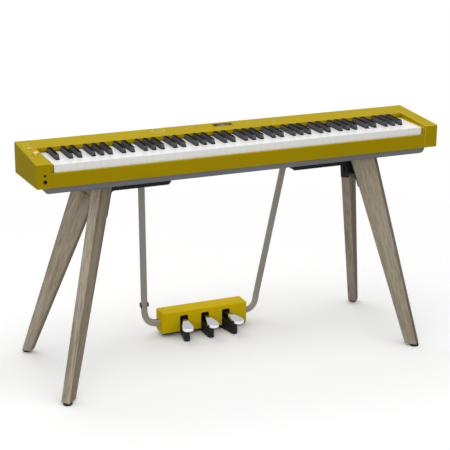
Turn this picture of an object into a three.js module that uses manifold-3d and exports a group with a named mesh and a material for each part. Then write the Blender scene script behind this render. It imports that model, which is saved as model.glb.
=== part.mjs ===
// A digital piano with 88 keys on a four-legged wooden stand with a pedal unit.
// Lengths are in millimetres. X runs along the keys, Y from the player to the back, Z up from the floor.
import * as THREE from "three";
import { mergeVertices } from "three/addons/utils/BufferGeometryUtils.js";
import Module from "manifold-3d";

const wasm = await Module();
wasm.setup();

// Clearances
const seat = 0.3;          // gap where one piece rests on or in another
const overlap = 0.5;       // depth by which joined shapes run into each other
const past = 2;            // how far a cutting shape runs past the face it cuts

// Keys: their number, and the pitch that sets the width of the whole case
const whitePitch = 23.6;
const whiteCount = 52;
const octaveWhites = 7;
const octaveCount = 7;
const groupCounts = [3, 4];  // white keys in the two groups of an octave
const lowCount = 2;        // white keys below the lowest C
const keyGap = 0.9;
const cheekWide = 11.1;    // fixed cheek beside the last key

// Case: end blocks, front rail, top panel and bottom tray
const blockWidth = 45.3;
const caseDepth = 242;
const frontTop = 751.4;    // height of the front upper edge above the floor
const topRise = 13.6;      // how much higher the top is at the back
const frontTall = 72.4;    // height of the case at its front
const bottomFall = 11;     // how much lower the underside is at the back
const caseWall = 3;
const blockEdge = 1.2;     // chamfer round the outer side of an end block
const panelEdge = 2;       // chamfer along the rear upper edge
const trayTall = 14.5;     // depth of the tray below the back of the case
const trayTopInset = 31;   // from the end of the case to the tray's rim
const trayFootInset = 35;  // from the end of the case to the tray's floor
const trayTopFront = 14;   // from the front of the case to the tray's rim
const trayTopBack = 2;     // from the back of the case to the tray's rim
const trayFrontSetback = 26;
const trayBackSetback = 20;
const trayRound = 4;       // height of the small slope between the tray's sides and its floor
const trayCorner = 6;      // radius of the tray's corners in plan
const slipDrop = 22.2;     // from the keys' tops down to the top of the front rail
const slipThick = 6;
const slipFoot = 20;
const panelDeep = 85;      // from the front of the top panel to the back of the case
const panelLift = 2.9;     // from the white keys' tops up to the panel's front wall
const panelFoot = 14;
const keysHalf = (whiteCount * whitePitch) / 2;
const innerHalf = keysHalf + cheekWide;
const caseHalf = innerHalf + blockWidth;
const backTop = frontTop + topRise;
const frontBottom = frontTop - frontTall;
const backBottom = frontBottom - bottomFall;
const trayBottom = backBottom - trayTall;
const trayFloor = trayBottom + caseWall;
const panelFront = caseDepth - panelDeep;
const caseMiddle = caseDepth / 2;

// Controls on the case. Places are from the middle or the end of the case, and from its front or back.
const displayX = 2;
const displayInset = 30;
const displaySize = [69, 25];
const displayFlange = 2.5;
const displayRise = 1.2;
const displayDeep = 7;
const ringX = -215;
const ringInset = 25;
const ringOuter = 21;
const ringInner = 18.5;
const ringDeep = 0.5;
const knobInset = 27;
const knobDepth = 98;
const knobRadius = 8;
const knobTall = 9;
const knobShaft = 3;
const knobReach = 14;
const knobNotch = 1.6;
const knobEdge = 2;
const buttonInset = 24;
const buttonDepth = 5;     // behind the front of the top panel
const buttonRadius = 6;
const buttonRise = 2.2;
const buttonReach = 9;
const phonesInset = 26;
const phonesLargeDrop = 52.4;  // from the front upper edge down to the large socket
const phonesSmallDrop = 33.4;
const phonesLarge = [6.2, 3.25];   // collar and bore radius of the large socket
const phonesSmall = [3.9, 1.8];    // collar and bore radius of the small socket
const phonesBody = [18, 20, 42];   // width, depth and height of the socket block
const phonesBore = 16;
const leadPlace = 255;     // from the middle of the case to the pedal lead's socket
const socketLift = 23;     // from the underside of the case up to the rear sockets
const socketRadius = 6.2;
const socketBore = 3.3;
const socketPitch = 32;
const socketBody = [84, 15, 17];
const socketCount = 3;
const displayCentre = [displayX, caseDepth - displayInset];
const ringCentre = [ringX, caseDepth - ringInset];
const knobCentre = [knobInset - caseHalf, knobDepth];
const buttonCentre = [buttonInset - caseHalf, panelFront + buttonDepth];
const phonesX = phonesInset - caseHalf;
const phonesLargeZ = frontTop - phonesLargeDrop;
const phonesSmallZ = frontTop - phonesSmallDrop;
const leadX = -leadPlace;
const socketZ = backBottom + socketLift;

// Keyboard
const keyDrop = 5.8;       // from the front upper edge down to the white keys' tops
const keyTall = 24.1;
const keyFront = 9.6;
const headLong = 50;       // length of a white key's wide front part
const keyWall = 1.8;
const keyDeck = 2.6;
const blackRise = 16;      // from the white keys' tops up to the black keys' tops
const blackTall = 31.6;
const blackBase = 12.6;
const blackCrown = 10.6;
const blackSetback = 1.8;  // how far a black key stands behind the end of the white heads
const blackRake = 5;       // how far the shoulder of its front leans back
const blackCrownRake = 7;  // how far the crown of its front leans back
const blackRound = 1.8;    // height of the slope round its crown
const capShort = 1.5;      // from the end of a black cap to the top panel
const tailDrop = 2.6;      // from the white keys' tops down to the black keys' tails
const tangWidth = 7;
const tangWeb = 6;         // front to back thickness of the web that joins a key to its tang
const tangLong = 13;       // from the rear end of a key to the spines
const spineDeep = 8;
const spineThick = 5.2;
const spineDrop = 9.5;     // from the white keys' undersides down to the lowest spine's underside
const keyTop = frontTop - keyDrop;
const keyUnder = keyTop - keyTall;
const keyHeadEnd = keyFront + headLong;
const slipTop = keyTop - slipDrop;
const panelLip = keyTop + panelLift;
const blackTop = keyTop + blackRise;
const blackUnder = blackTop - blackTall;
const blackTailTop = keyTop - tailDrop;
const blackCapEnd = panelFront - capShort;
const spineLevel = keyUnder - spineDrop;

// Key frame and felt
const frameClear = 2;      // from the frame to the rear sockets
const frameDrop = 20;      // from the lowest spine down to the frame's plate
const frameThick = 1.6;
const frameInset = 1.6;    // from the last key to the end of the frame
const frameFront = 14;
const spineInset = 5;      // from the spines to the back of the frame
const railFront = 30;
const railDeep = 22;
const railDrop = 12.3;     // from the white keys' undersides down to the front rail
const standInset = 14;     // from the edge of the tray's floor to the frame's front web
const standShort = 14;     // how much shorter the standing webs are at each end
const feltInset = 3;
const feltThick = 2.9;
const framePlate = spineLevel - frameDrop;
const frameHalf = keysHalf - frameInset;
const frameBack = caseDepth - caseWall - socketBody[1] - frameClear;
const spineBack = frameBack - spineInset;
const spineFront = spineBack - spineDeep;
const hingeRail = spineFront - overlap;
const keyRear = spineFront - tangLong;
const railTop = keyUnder - railDrop;
const standFront = trayFrontSetback + standInset;

// Electronics in the tray
const boardSize = [260, 80, 1.6];
const boardLift = 6;
const boardPost = 4;
const chipSize = [[30, 30, 3], [18, 18, 4], [44, 12, 8]];
const chipShares = [0.2, 0.5, 0.8];  // places of the parts along the board's width
const speakerInset = 125;  // from the end of the case
const speakerRadius = 48;
const speakerTall = 30;
const coneBackShare = 0.6; // height of the cone's back against the whole speaker
const slotWide = 4;
const slotPitch = 11;
const slotShare = 0.8;     // length of a sound slot against the speaker's radius
const slotCount = 5;
const speakerX = caseHalf - speakerInset;

// Legs: boards of even thickness that widen upwards. Their outer corner is placed in plan from the end
// of the case and from the middle of its depth, and the third value is the board's width there.
const frontThick = 29.8;
const frontFoot = [64.1, -166.7, 40.7];
const frontHead = [206.7, -77.3, 82.6];
const frontDegrees = 46.2;
const rearThick = 28.4;
const rearFoot = [59.8, 311.9, 32.1];
const rearHead = [203.3, 112.6, 91];
const rearDegrees = -43.9;
const footChamfer = 6.5;
const footChamferRise = 8;
const jointDrop = 62.6;    // from the top of a rear leg's head block, along the leg, to the joint
const bridgeDrop = 31.2;   // height of the block that joins the two heads
const bridgeShares = [[0.6, 0.1], [0.05, 0.1], [0.05, 0.9]];  // its corners, along and across a leg
const glideRadius = 14.5;
const glideTall = 8;
const glideEdge = 2;
const glidePlace = [12, 10.5];  // centre of a glide, across and along the leg from its outer corner
const legTop = trayBottom - seat;

// Steel bracket under the case, one each side
const bracketLong = 216;
const bracketDrop = 40.7;  // from the top of the bracket down to the edge of its channel
const bracketSheet = 2.5;
const bracketChamfer = 8;
const bracketFillet = 13;
const filletDrop = 25;     // from the edge of the channel down to the end of its curve
const gussetWide = 16.5;   // from the end of that curve to the web between the legs
const gussetFall = 12;     // how much lower the wall ends at the web
const wingDrop = 108;      // from the top of the bracket down to the end of its wings
const webDrop = 96;        // from the top of the bracket down to the end of the web between them

// Pedal unit
const boxHalf = 156.3;
const boxBehind = 107;     // from the back of the case to the front of the pedal box
const boxDeep = 63;
const boxBottom = 15;
const boxWall = 2.5;
const pedalPitch = 77.4;
const pedalCount = 3;
const slotHalf = 14.6;
const slotRound = 5;
const splayDegrees = 11.2;
const shaftZ = 64;
const shaftBehind = 44;    // from the front of the box to the shaft
const shaftRadius = 5;
const eyeRadius = 10;
const armHalf = 6.5;
const pedalLift = 2;       // from the shaft's middle up to a pedal's upper face where it leaves the box
const pedalThick = 7.5;
const pedalFallShare = 0.105;   // how fast a pedal falls towards its tip
const pedalLong = 97;      // from the box to the tip
const flareShares = [0.5, 0.55];  // width and place of a point on the pedal's flare
const tipHalf = 19.5;
const slotLift = 6;        // from the pedal's upper face to the top of its slot
const coverLift = 16;      // from the top of the slots to the top of the box
const baseEdge = 3;
const baseThick = 6;
const supportLong = 63;    // from the box to the front of a support
const supportReach = 51;   // from the front of the box back to a support's rear end
const supportHalf = 11;
const supportTop = 33;
const supportRiseShare = 0.17;
const boxFront = caseDepth + boxBehind;
const boxBack = boxFront + boxDeep;
const shaftY = boxFront + shaftBehind;
const pedalTop = shaftZ + pedalLift;
const slotTop = pedalTop + slotLift;
const boxTop = slotTop + coverLift;
const pedalTip = boxFront - pedalLong;
const supportFront = boxFront - supportLong;
const supportBack = boxFront + supportReach;

// Bars that hang the pedal box from the case: places on their centre line from the end, front and
// bottom of the pedal box, except the high point, which is placed from the case
const barWide = 22;
const barThick = 10;
const barEdge = 2.5;
const highSpread = 93.9;   // outwards from the end of the box
const lowSpread = 51.4;
const bendSpread = 48.9;
const entrySpread = 9.7;
const endInset = 4.3;
const highBehind = 40;     // backwards from the case
const lowBehind = 37.6;    // backwards from the front of the box
const bendBehind = 39;
const entryBehind = 28;
const endBehind = 27;
const barDrop = 87.2;      // from the head of the legs down to the high point
const lowRise = 78.5;      // above the bottom of the box
const entryRise = 30.5;
const barTabInset = 57;    // from the back of the case to the front end of a bar
const barTopBend = 30;
const barHigh = [boxHalf + highSpread, caseDepth + highBehind, legTop - barDrop];
const barLow = [boxHalf + lowSpread, boxFront + lowBehind, boxBottom + lowRise];
const entryZ = boxBottom + entryRise;
const barCorner = [boxHalf + bendSpread, boxFront + bendBehind, entryZ];
const barEntry = [boxHalf + entrySpread, boxFront + entryBehind, entryZ];
const barEnd = [boxHalf - endInset, boxFront + endBehind, entryZ];
const leadRadius = 2.3;
const leadSides = 8;
const leadInset = 3.3;     // end of the lead from the end of the box, its front and its bottom
const leadBehind = 35;
const leadRise = 47;
const leadEntry = [leadInset - boxHalf, boxFront + leadBehind, boxBottom + leadRise];
const leadShares = [1 / 3, 2 / 3];  // places of the lead's guide points between the clip and the bar's top
const leadBend = 13;       // how far the lead runs straight out of its plug
const plugRadius = 5;
const plugLong = 24;
const clipWide = 28.5;
const clipThick = 2.2;
const clipTall = 14;
const clipRise = 103;      // from the bottom of the box up to the clip
const clipZ = boxBottom + clipRise;

// Facets
const roundSides = 24;
const smallSides = 16;
const bendSteps = 6;
const cornerSteps = 4;

// Materials
function paint(color, roughness, metalness) {
  return new THREE.MeshStandardMaterial({ color, roughness, metalness, flatShading: true });
}
const mustard = paint(0xb49a12, 0.45, 0);
const greyPlastic = paint(0x62636a, 0.6, 0);
const whitePlastic = paint(0xf2f2ee, 0.3, 0);
const blackPlastic = paint(0x2c2c30, 0.45, 0);
const feltRed = paint(0x7a1f22, 0.95, 0);
const wood = paint(0x8c8070, 0.6, 0);
const blackSteel = paint(0x1b1c20, 0.4, 0.6);
const barPaint = paint(0x88857a, 0.5, 0.3);
const chrome = paint(0xd8dadd, 0.15, 1);
const zincSteel = paint(0xb4b6b8, 0.35, 0.9);
const boardGreen = paint(0x2d5a3a, 0.6, 0);
const rubberBlack = paint(0x161616, 0.8, 0);
const glassBlack = paint(0x101418, 0.1, 0);

// Turns a closed geometry into a solid that can be joined and cut.
function solidOf(geometry) {
  const bare = geometry.clone();
  for (const name of Object.keys(bare.attributes)) {
    if (name !== "position") {
      bare.deleteAttribute(name);
    }
  }
  const merged = mergeVertices(bare);
  const mesh = new wasm.Mesh({
    numProp: 3,
    vertProperties: new Float32Array(merged.attributes.position.array),
    triVerts: new Uint32Array(merged.index.array),
  });
  return new wasm.Manifold(mesh);
}

// Turns a solid back into a geometry for a mesh.
function geometryOf(solid) {
  const mesh = solid.getMesh();
  const geometry = new THREE.BufferGeometry();
  geometry.setAttribute("position", new THREE.BufferAttribute(new Float32Array(mesh.vertProperties), 3));
  geometry.setIndex(new THREE.BufferAttribute(new Uint32Array(mesh.triVerts), 1));
  geometry.computeVertexNormals();
  return geometry;
}

// A closed solid through a row of rings that all have the same number of points.
function loft(rings) {
  const count = rings[0].length;
  const positions = rings.flat(2);
  const faces = [];
  for (let r = 0; r + 1 < rings.length; r += 1) {
    for (let i = 0; i < count; i += 1) {
      const next = (i + 1) % count;
      const a = r * count + i;
      const b = r * count + next;
      faces.push([a, b, b + count], [a, b + count, a + count]);
    }
  }
  const last = (rings.length - 1) * count;
  for (let i = 1; i + 1 < count; i += 1) {
    faces.push([0, i + 1, i], [last, last + i, last + i + 1]);
  }
  const point = (i) => new THREE.Vector3().fromArray(positions, i * 3);
  let volume = 0;
  for (const [a, b, c] of faces) {
    volume += point(a).dot(point(b).cross(point(c)));
  }
  const turned = volume < 0 ? faces.map(([a, b, c]) => [a, c, b]) : faces;
  const geometry = new THREE.BufferGeometry();
  geometry.setAttribute("position", new THREE.BufferAttribute(new Float32Array(positions), 3));
  geometry.setIndex(turned.flat());
  return solidOf(geometry);
}

// A box between two corners.
function block(low, high) {
  const size = high.map((value, axis) => value - low[axis]);
  const geometry = new THREE.BoxGeometry(...size);
  geometry.translate(...low.map((value, axis) => value + size[axis] / 2));
  return solidOf(geometry);
}

// Carries a geometry drawn in XY and extruded along Z onto the named axis.
const turnOnto = {
  x: new THREE.Matrix4().makeBasis(
    new THREE.Vector3(0, 1, 0), new THREE.Vector3(0, 0, 1), new THREE.Vector3(1, 0, 0)),
  y: new THREE.Matrix4().makeBasis(
    new THREE.Vector3(0, 0, 1), new THREE.Vector3(1, 0, 0), new THREE.Vector3(0, 1, 0)),
  z: new THREE.Matrix4(),
};

// An outline extruded along an axis. The outline is in (Y, Z) for x, in (Z, X) for y and in (X, Y) for z.
function extrude(outline, axis, from, to) {
  const shape = new THREE.Shape(outline.map(([a, b]) => new THREE.Vector2(a, b)));
  const geometry = new THREE.ExtrudeGeometry(shape, { depth: to - from, bevelEnabled: false });
  geometry.translate(0, 0, from);
  geometry.applyMatrix4(turnOnto[axis]);
  return solidOf(geometry);
}

// A round bar along an axis, from one place on it to another, about a centre in the other two axes.
function rod(axis, centre, radius, from, to, sides = roundSides) {
  const outline = [];
  for (let i = 0; i < sides; i += 1) {
    const angle = (i / sides) * 2 * Math.PI;
    outline.push([centre[0] + radius * Math.cos(angle), centre[1] + radius * Math.sin(angle)]);
  }
  return extrude(outline, axis, from, to);
}

// Points of an arc in a plane, both ends included.
function arc(centre, radius, fromDegrees, toDegrees, steps = bendSteps) {
  const points = [];
  for (let i = 0; i <= steps; i += 1) {
    const angle = THREE.MathUtils.degToRad(fromDegrees + ((toDegrees - fromDegrees) * i) / steps);
    points.push([centre[0] + radius * Math.cos(angle), centre[1] + radius * Math.sin(angle)]);
  }
  return points;
}

function join(solids) {
  return solids.reduce((whole, piece) => whole.add(piece));
}

const piano = new THREE.Group();
function place(name, solid, material, x = 0, y = 0, z = 0) {
  const geometry = solid.isBufferGeometry ? solid : geometryOf(solid);
  const mesh = new THREE.Mesh(geometry, material);
  mesh.name = name;
  mesh.position.set(x, y, z);
  piano.add(mesh);
  return mesh;
}

// Case heights along Y: the top rises and the bottom falls towards the back.
const topSlope = (backTop - frontTop) / caseDepth;
const bottomSlope = (backBottom - frontBottom) / caseDepth;
const slopeAngle = Math.atan(topSlope);
const topAt = (y) => frontTop + topSlope * y;
const bottomAt = (y) => frontBottom + bottomSlope * y;

// Moves a solid drawn about the origin, Z up, onto the sloping top at a place in plan.
function ontoTop(geometry, [x, y]) {
  geometry.rotateX(slopeAngle);
  geometry.translate(x, y, topAt(y));
  return solidOf(geometry);
}

// End blocks: hollow covers with an opening towards the inside and a solid cheek beside the keys.
function blockSide(inset) {
  return [
    [inset, bottomAt(inset) + inset],
    [caseDepth - inset, bottomAt(caseDepth - inset) + inset],
    [caseDepth - inset, topAt(caseDepth - inset) - inset],
    [inset, topAt(inset) - inset],
  ];
}
function sideRing(x, inset) {
  return blockSide(inset).map(([y, z]) => [x, y, z]);
}
function endBlock(side) {
  const outer = loft([
    sideRing(side * innerHalf, 0),
    sideRing(side * (caseHalf - blockEdge), 0),
    sideRing(side * caseHalf, blockEdge),
  ]);
  const hollow = loft([
    sideRing(side * (innerHalf + caseWall), caseWall),
    sideRing(side * (caseHalf - caseWall), caseWall),
  ]);
  const window = loft([
    [hingeRail, railFront, railFront, hingeRail].map((y, i) => [
      side * (innerHalf - past), y, i < 2 ? bottomAt(y) + slipFoot : keyUnder - keyWall]),
    [hingeRail, railFront, railFront, hingeRail].map((y, i) => [
      side * (innerHalf + caseWall + past), y, i < 2 ? bottomAt(y) + slipFoot : keyUnder - keyWall]),
  ]);
  const cheekRing = [
    [keyFront, slipTop],
    [panelFront - seat, slipTop],
    [panelFront - seat, keyTop],
    [keyFront, keyTop],
  ];
  const cheek = loft([
    cheekRing.map(([y, z]) => [side * (keysHalf + keyGap), y, z]),
    cheekRing.map(([y, z]) => [side * (innerHalf + overlap), y, z]),
  ]);
  return outer.subtract(hollow).subtract(window).add(cheek);
}
const phonesWall = caseWall + past;
const knobHole = new THREE.CylinderGeometry(knobShaft + seat, knobShaft + seat, phonesWall * 2, smallSides);
knobHole.rotateX(Math.PI / 2);
const buttonFree = buttonRadius + seat;
const buttonHole = new THREE.CylinderGeometry(buttonFree, buttonFree, phonesWall * 2, roundSides);
buttonHole.rotateX(Math.PI / 2);
const leftBlock = endBlock(-1)
  .subtract(ontoTop(knobHole, knobCentre))
  .subtract(ontoTop(buttonHole, buttonCentre))
  .subtract(rod("y", [phonesLargeZ, phonesX], phonesLarge[0] + seat, -past, phonesWall))
  .subtract(rod("y", [phonesSmallZ, phonesX], phonesSmall[0] + seat, -past, phonesWall));
place("end_block_left", leftBlock, mustard);
place("end_block_right", endBlock(1), mustard);

// Headphone sockets: one moulded block with two collars that fill the holes in the front wall.
const phonesMiddle = (phonesLargeZ + phonesSmallZ) / 2;
const phones = join([
  block(
    [phonesX - phonesBody[0] / 2, caseWall + seat, phonesMiddle - phonesBody[2] / 2],
    [phonesX + phonesBody[0] / 2, caseWall + phonesBody[1], phonesMiddle + phonesBody[2] / 2]),
  rod("y", [phonesLargeZ, phonesX], phonesLarge[0], 0, caseWall + past),
  rod("y", [phonesSmallZ, phonesX], phonesSmall[0], 0, caseWall + past),
])
  .subtract(rod("y", [phonesLargeZ, phonesX], phonesLarge[1], -past, phonesBore, smallSides))
  .subtract(rod("y", [phonesSmallZ, phonesX], phonesSmall[1], -past, phonesBore, smallSides));
place("phones_sockets", phones, blackPlastic);

// Volume knob with its shaft, turned about the normal of the sloping top.
const knobProfile = [
  [0, -knobReach],
  [knobShaft, -knobReach],
  [knobShaft, seat],
  [knobRadius, seat],
  [knobRadius, knobTall - knobEdge],
  [knobRadius - knobEdge, knobTall],
  [0, knobTall],
].map(([radius, height]) => new THREE.Vector2(radius, height));
const knobTurned = new THREE.LatheGeometry(knobProfile, roundSides);
knobTurned.rotateX(Math.PI / 2);
const knobMark = block(
  [-knobNotch / 2, knobRadius / 2, knobTall - knobNotch],
  [knobNotch / 2, knobRadius + past, knobTall + past]);
const knob = place("volume_knob", solidOf(knobTurned).subtract(knobMark), blackPlastic,
  knobCentre[0], knobCentre[1], topAt(knobCentre[1]));
knob.rotation.x = slopeAngle;

// Power button: a round cap that slides in its hole, with a wider skirt that holds it in.
const buttonProfile = [
  [0, -buttonReach],
  [buttonRadius + past, -buttonReach],
  [buttonRadius + past, -caseWall - seat],
  [buttonRadius, -caseWall - seat],
  [buttonRadius, buttonRise - keyGap],
  [buttonRadius - keyGap, buttonRise],
  [0, buttonRise],
].map(([radius, height]) => new THREE.Vector2(radius, height));
const buttonTurned = new THREE.LatheGeometry(buttonProfile, roundSides);
buttonTurned.rotateX(Math.PI / 2);
const button = place("power_button", solidOf(buttonTurned), whitePlastic,
  buttonCentre[0], buttonCentre[1], topAt(buttonCentre[1]));
button.rotation.x = slopeAngle;

// Front rail between the end blocks, with a foot that lies on the tray's edge.
const railHalf = innerHalf - seat;
const slipOutline = [
  [0, bottomAt(0)],
  [slipFoot, bottomAt(0)],
  [slipFoot, bottomAt(0) + caseWall],
  [slipThick, bottomAt(0) + caseWall],
  [slipThick, slipTop],
  [keyGap, slipTop],
  [0, slipTop - keyGap],
];
place("key_slip", extrude(slipOutline, "x", -railHalf, railHalf), mustard);

// Top panel with its front lip, rear wall and rear foot.
const panelOutline = [
  [panelFront, panelLip],
  [panelFront + caseWall, panelLip],
  [panelFront + caseWall, topAt(panelFront + caseWall) - caseWall],
  [caseDepth - caseWall, topAt(caseDepth - caseWall) - caseWall],
  [caseDepth - caseWall, bottomAt(caseDepth) + caseWall],
  [caseDepth - panelFoot, bottomAt(caseDepth - panelFoot) + caseWall],
  [caseDepth - panelFoot, bottomAt(caseDepth - panelFoot)],
  [caseDepth, bottomAt(caseDepth)],
  [caseDepth, topAt(caseDepth) - panelEdge],
  [caseDepth - panelEdge, topAt(caseDepth)],
  [panelFront, topAt(panelFront)],
];
const displayHole = new THREE.BoxGeometry(displaySize[0], displaySize[1], phonesWall * 2);
const ringShape = new THREE.Shape().absarc(0, 0, ringOuter, 0, 2 * Math.PI);
ringShape.holes.push(new THREE.Path().absarc(0, 0, ringInner, 0, 2 * Math.PI, true));
const ringGroove = new THREE.ExtrudeGeometry(ringShape, {
  depth: ringDeep + past, bevelEnabled: false, curveSegments: roundSides / 2 });
ringGroove.translate(0, 0, -ringDeep);
const socketMiddle = leadX + socketPitch;
const socketAt = (i) => leadX + i * socketPitch;
let panel = extrude(panelOutline, "x", -railHalf, railHalf)
  .subtract(ontoTop(displayHole, displayCentre))
  .subtract(ontoTop(ringGroove, ringCentre));
let sockets = block(
  [socketMiddle - socketBody[0] / 2, caseDepth - caseWall - socketBody[1], socketZ - socketBody[2] / 2],
  [socketMiddle + socketBody[0] / 2, caseDepth - caseWall - seat, socketZ + socketBody[2] / 2]);
for (let i = 0; i < socketCount; i += 1) {
  const centre = [socketZ, socketAt(i)];
  panel = panel.subtract(rod("y", centre, socketRadius + seat, caseDepth - phonesWall, caseDepth + past));
  sockets = sockets.add(rod("y", centre, socketRadius, caseDepth - phonesWall, caseDepth));
  sockets = sockets.subtract(
    rod("y", centre, socketBore, caseDepth - phonesBore, caseDepth + past, smallSides));
}
place("top_panel", panel, mustard);
place("rear_sockets", sockets, blackPlastic);

// Display: a thin flanged window with its module below the panel.
const displayBody = join([
  block(
    [-displaySize[0] / 2 + seat, -displaySize[1] / 2 + seat, -displayDeep],
    [displaySize[0] / 2 - seat, displaySize[1] / 2 - seat, seat + overlap]),
  block(
    [-displaySize[0] / 2 - displayFlange, -displaySize[1] / 2 - displayFlange, seat],
    [displaySize[0] / 2 + displayFlange, displaySize[1] / 2 + displayFlange, displayRise]),
]);
const display = place("display", displayBody, glassBlack,
  displayCentre[0], displayCentre[1], topAt(displayCentre[1]));
display.rotation.x = slopeAngle;

// Bottom tray: an open tray with sloping sides and rounded corners.
function trayRing(half, front, back, height, corner) {
  return [
    ...arc([half - corner, front + corner], corner, -90, 0, cornerSteps),
    ...arc([half - corner, back - corner], corner, 0, 90, cornerSteps),
    ...arc([-half + corner, back - corner], corner, 90, 180, cornerSteps),
    ...arc([-half + corner, front + corner], corner, 180, 270, cornerSteps),
  ].map(([x, y]) => [x, y, height(y)]);
}
const trayTop = (y) => bottomAt(y) - seat;
const trayShare = trayRound / (trayTop(0) - trayBottom);
const between = (low, high, share) => low + (high - low) * share;
function trayBody(wall, rise) {
  const front = trayTopFront + wall;
  const back = caseDepth - trayTopBack - wall;
  const footFront = trayFrontSetback + wall;
  const footBack = caseDepth - trayBackSetback - wall;
  const footHalf = caseHalf - trayFootInset - wall;
  const topHalf = caseHalf - trayTopInset - wall;
  const corner = trayCorner - wall;
  return loft([
    trayRing(footHalf - trayRound, footFront + trayRound, footBack - trayRound,
      () => trayBottom + wall, corner),
    trayRing(between(footHalf, topHalf, trayShare), between(footFront, front, trayShare),
      between(footBack, back, trayShare), () => trayBottom + trayRound + wall, corner),
    trayRing(topHalf, front, back, (y) => trayTop(y) + rise, corner),
  ]);
}
let tray = trayBody(0, 0).subtract(trayBody(caseWall, seat));
for (const side of [-1, 1]) {
  for (let i = 0; i < slotCount; i += 1) {
    const x = side * speakerX + (i - (slotCount - 1) / 2) * slotPitch;
    const reach = speakerRadius * slotShare;
    tray = tray.subtract(block(
      [x - slotWide / 2, caseMiddle - reach, trayBottom - past],
      [x + slotWide / 2, caseMiddle + reach, trayBottom + caseWall + past]));
  }
}

// Main board on four posts that rise from the tray's floor.
for (const sx of [-1, 1]) {
  for (const sy of [-1, 1]) {
    const x = sx * (boardSize[0] / 2 - boardPost * 2);
    const y = caseMiddle + sy * (boardSize[1] / 2 - boardPost * 2);
    tray = tray.add(block(
      [x - boardPost, y - boardPost, trayFloor - overlap],
      [x + boardPost, y + boardPost, trayFloor + boardLift]));
  }
}
place("bottom_tray", tray, greyPlastic);
const boardUnder = trayFloor + boardLift + seat;
const boardFront = caseMiddle - boardSize[1] / 2;
let board = block(
  [-boardSize[0] / 2, boardFront, boardUnder],
  [boardSize[0] / 2, boardFront + boardSize[1], boardUnder + boardSize[2]]);
chipSize.forEach(([wide, deep, tall], i) => {
  const x = boardSize[0] * (chipShares[i] - 1 / 2);
  board = board.add(block(
    [x - wide / 2, caseMiddle - deep / 2, boardUnder + boardSize[2] - overlap],
    [x + wide / 2, caseMiddle + deep / 2, boardUnder + boardSize[2] + tall]));
});
place("main_board", board, boardGreen);

// Speakers face down over the sound slots: a rim, a cone that opens downwards and a magnet on top.
const speakerProfile = [
  [0, speakerTall / 2],
  [speakerRadius / 3, speakerTall / 2],
  [speakerRadius - boardPost, overlap + seat],
  [speakerRadius - boardPost, 0],
  [speakerRadius, 0],
  [speakerRadius, caseWall],
  [speakerRadius / 2, speakerTall * coneBackShare],
  [speakerRadius / 2, speakerTall],
  [0, speakerTall],
].map(([radius, height]) => new THREE.Vector2(radius, height));
const speakerGeometry = new THREE.LatheGeometry(speakerProfile, roundSides);
speakerGeometry.rotateX(Math.PI / 2);
const speaker = geometryOf(solidOf(speakerGeometry));
place("speaker_left", speaker, blackSteel, -speakerX, caseMiddle, trayFloor + seat);
place("speaker_right", speaker, blackSteel, speakerX, caseMiddle, trayFloor + seat);

// Key frame: a folded plate with a front rail, a hinge rail and two webs that stand on the tray's floor.
const strip = (y0, y1, z0, z1, half = frameHalf) => block([-half, y0, z0], [half, y1, z1]);
const standHalf = frameHalf - standShort;
const standing = trayFloor + seat;
const hingeTop = spineLevel - seat;
const keyFrame = join([
  strip(frameFront, frameBack, framePlate, framePlate + frameThick),
  strip(standFront, standFront + frameThick, standing, framePlate + overlap, standHalf),
  strip(hingeRail, hingeRail + frameThick, standing, framePlate + overlap, standHalf),
  strip(railFront, railFront + frameThick, framePlate, railTop),
  strip(railFront, railFront + railDeep, railTop - frameThick, railTop),
  strip(railFront + railDeep - frameThick, railFront + railDeep, framePlate, railTop),
  strip(hingeRail, hingeRail + frameThick, framePlate, hingeTop),
  strip(hingeRail, frameBack, hingeTop - frameThick, hingeTop),
  strip(frameBack - frameThick, frameBack, framePlate, hingeTop),
]);
place("key_frame", keyFrame, zincSteel);
place("key_felt", block(
  [-frameHalf, railFront + feltInset, railTop + seat],
  [frameHalf, railFront + railDeep - feltInset, railTop + feltThick]), feltRed);

// White key number i of an octave starts at C. Its tail takes one of the equal shares of its group
// of three or four keys, and the black keys take the shares in between.
function tailSpan(i) {
  const first = i < groupCounts[0];
  const start = first ? 0 : groupCounts[0];
  const whites = first ? groupCounts[0] : groupCounts[1];
  const share = (whites * whitePitch) / (2 * whites - 1);
  const left = start * whitePitch + 2 * (i - start) * share;
  return [left, left + share];
}
function tang(x, level, top) {
  const under = spineLevel + level * (spineThick + seat);
  return join([
    block([x - tangWidth / 2, keyRear - tangWeb, under], [x + tangWidth / 2, keyRear, top + overlap]),
    block([x - tangWidth / 2, keyRear - tangWeb, under],
      [x + tangWidth / 2, spineFront + overlap, under + spineThick]),
  ]);
}
function whiteKey(i, level, tail = tailSpan(i)) {
  const left = i * whitePitch + keyGap / 2;
  const right = left + whitePitch - keyGap;
  const tailLeft = tail[0] + keyGap / 2;
  const tailRight = tail[1] - keyGap / 2;
  const under = keyUnder;
  const deck = keyTop - keyDeck;
  const shell = join([
    block([left, keyFront, under], [right, keyHeadEnd, keyTop]),
    block([tailLeft, keyHeadEnd - overlap, under], [tailRight, keyRear, keyTop]),
  ]);
  const hollow = join([
    block([left + keyWall, keyFront + keyWall, under - past], [right - keyWall, keyHeadEnd - keyWall, deck]),
    block([tailLeft + keyWall, keyHeadEnd - keyWall - past, under - past],
      [tailRight - keyWall, keyRear - tangWeb, deck]),
  ]);
  return shell.subtract(hollow).add(tang((tailLeft + tailRight) / 2, level, under));
}

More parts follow.
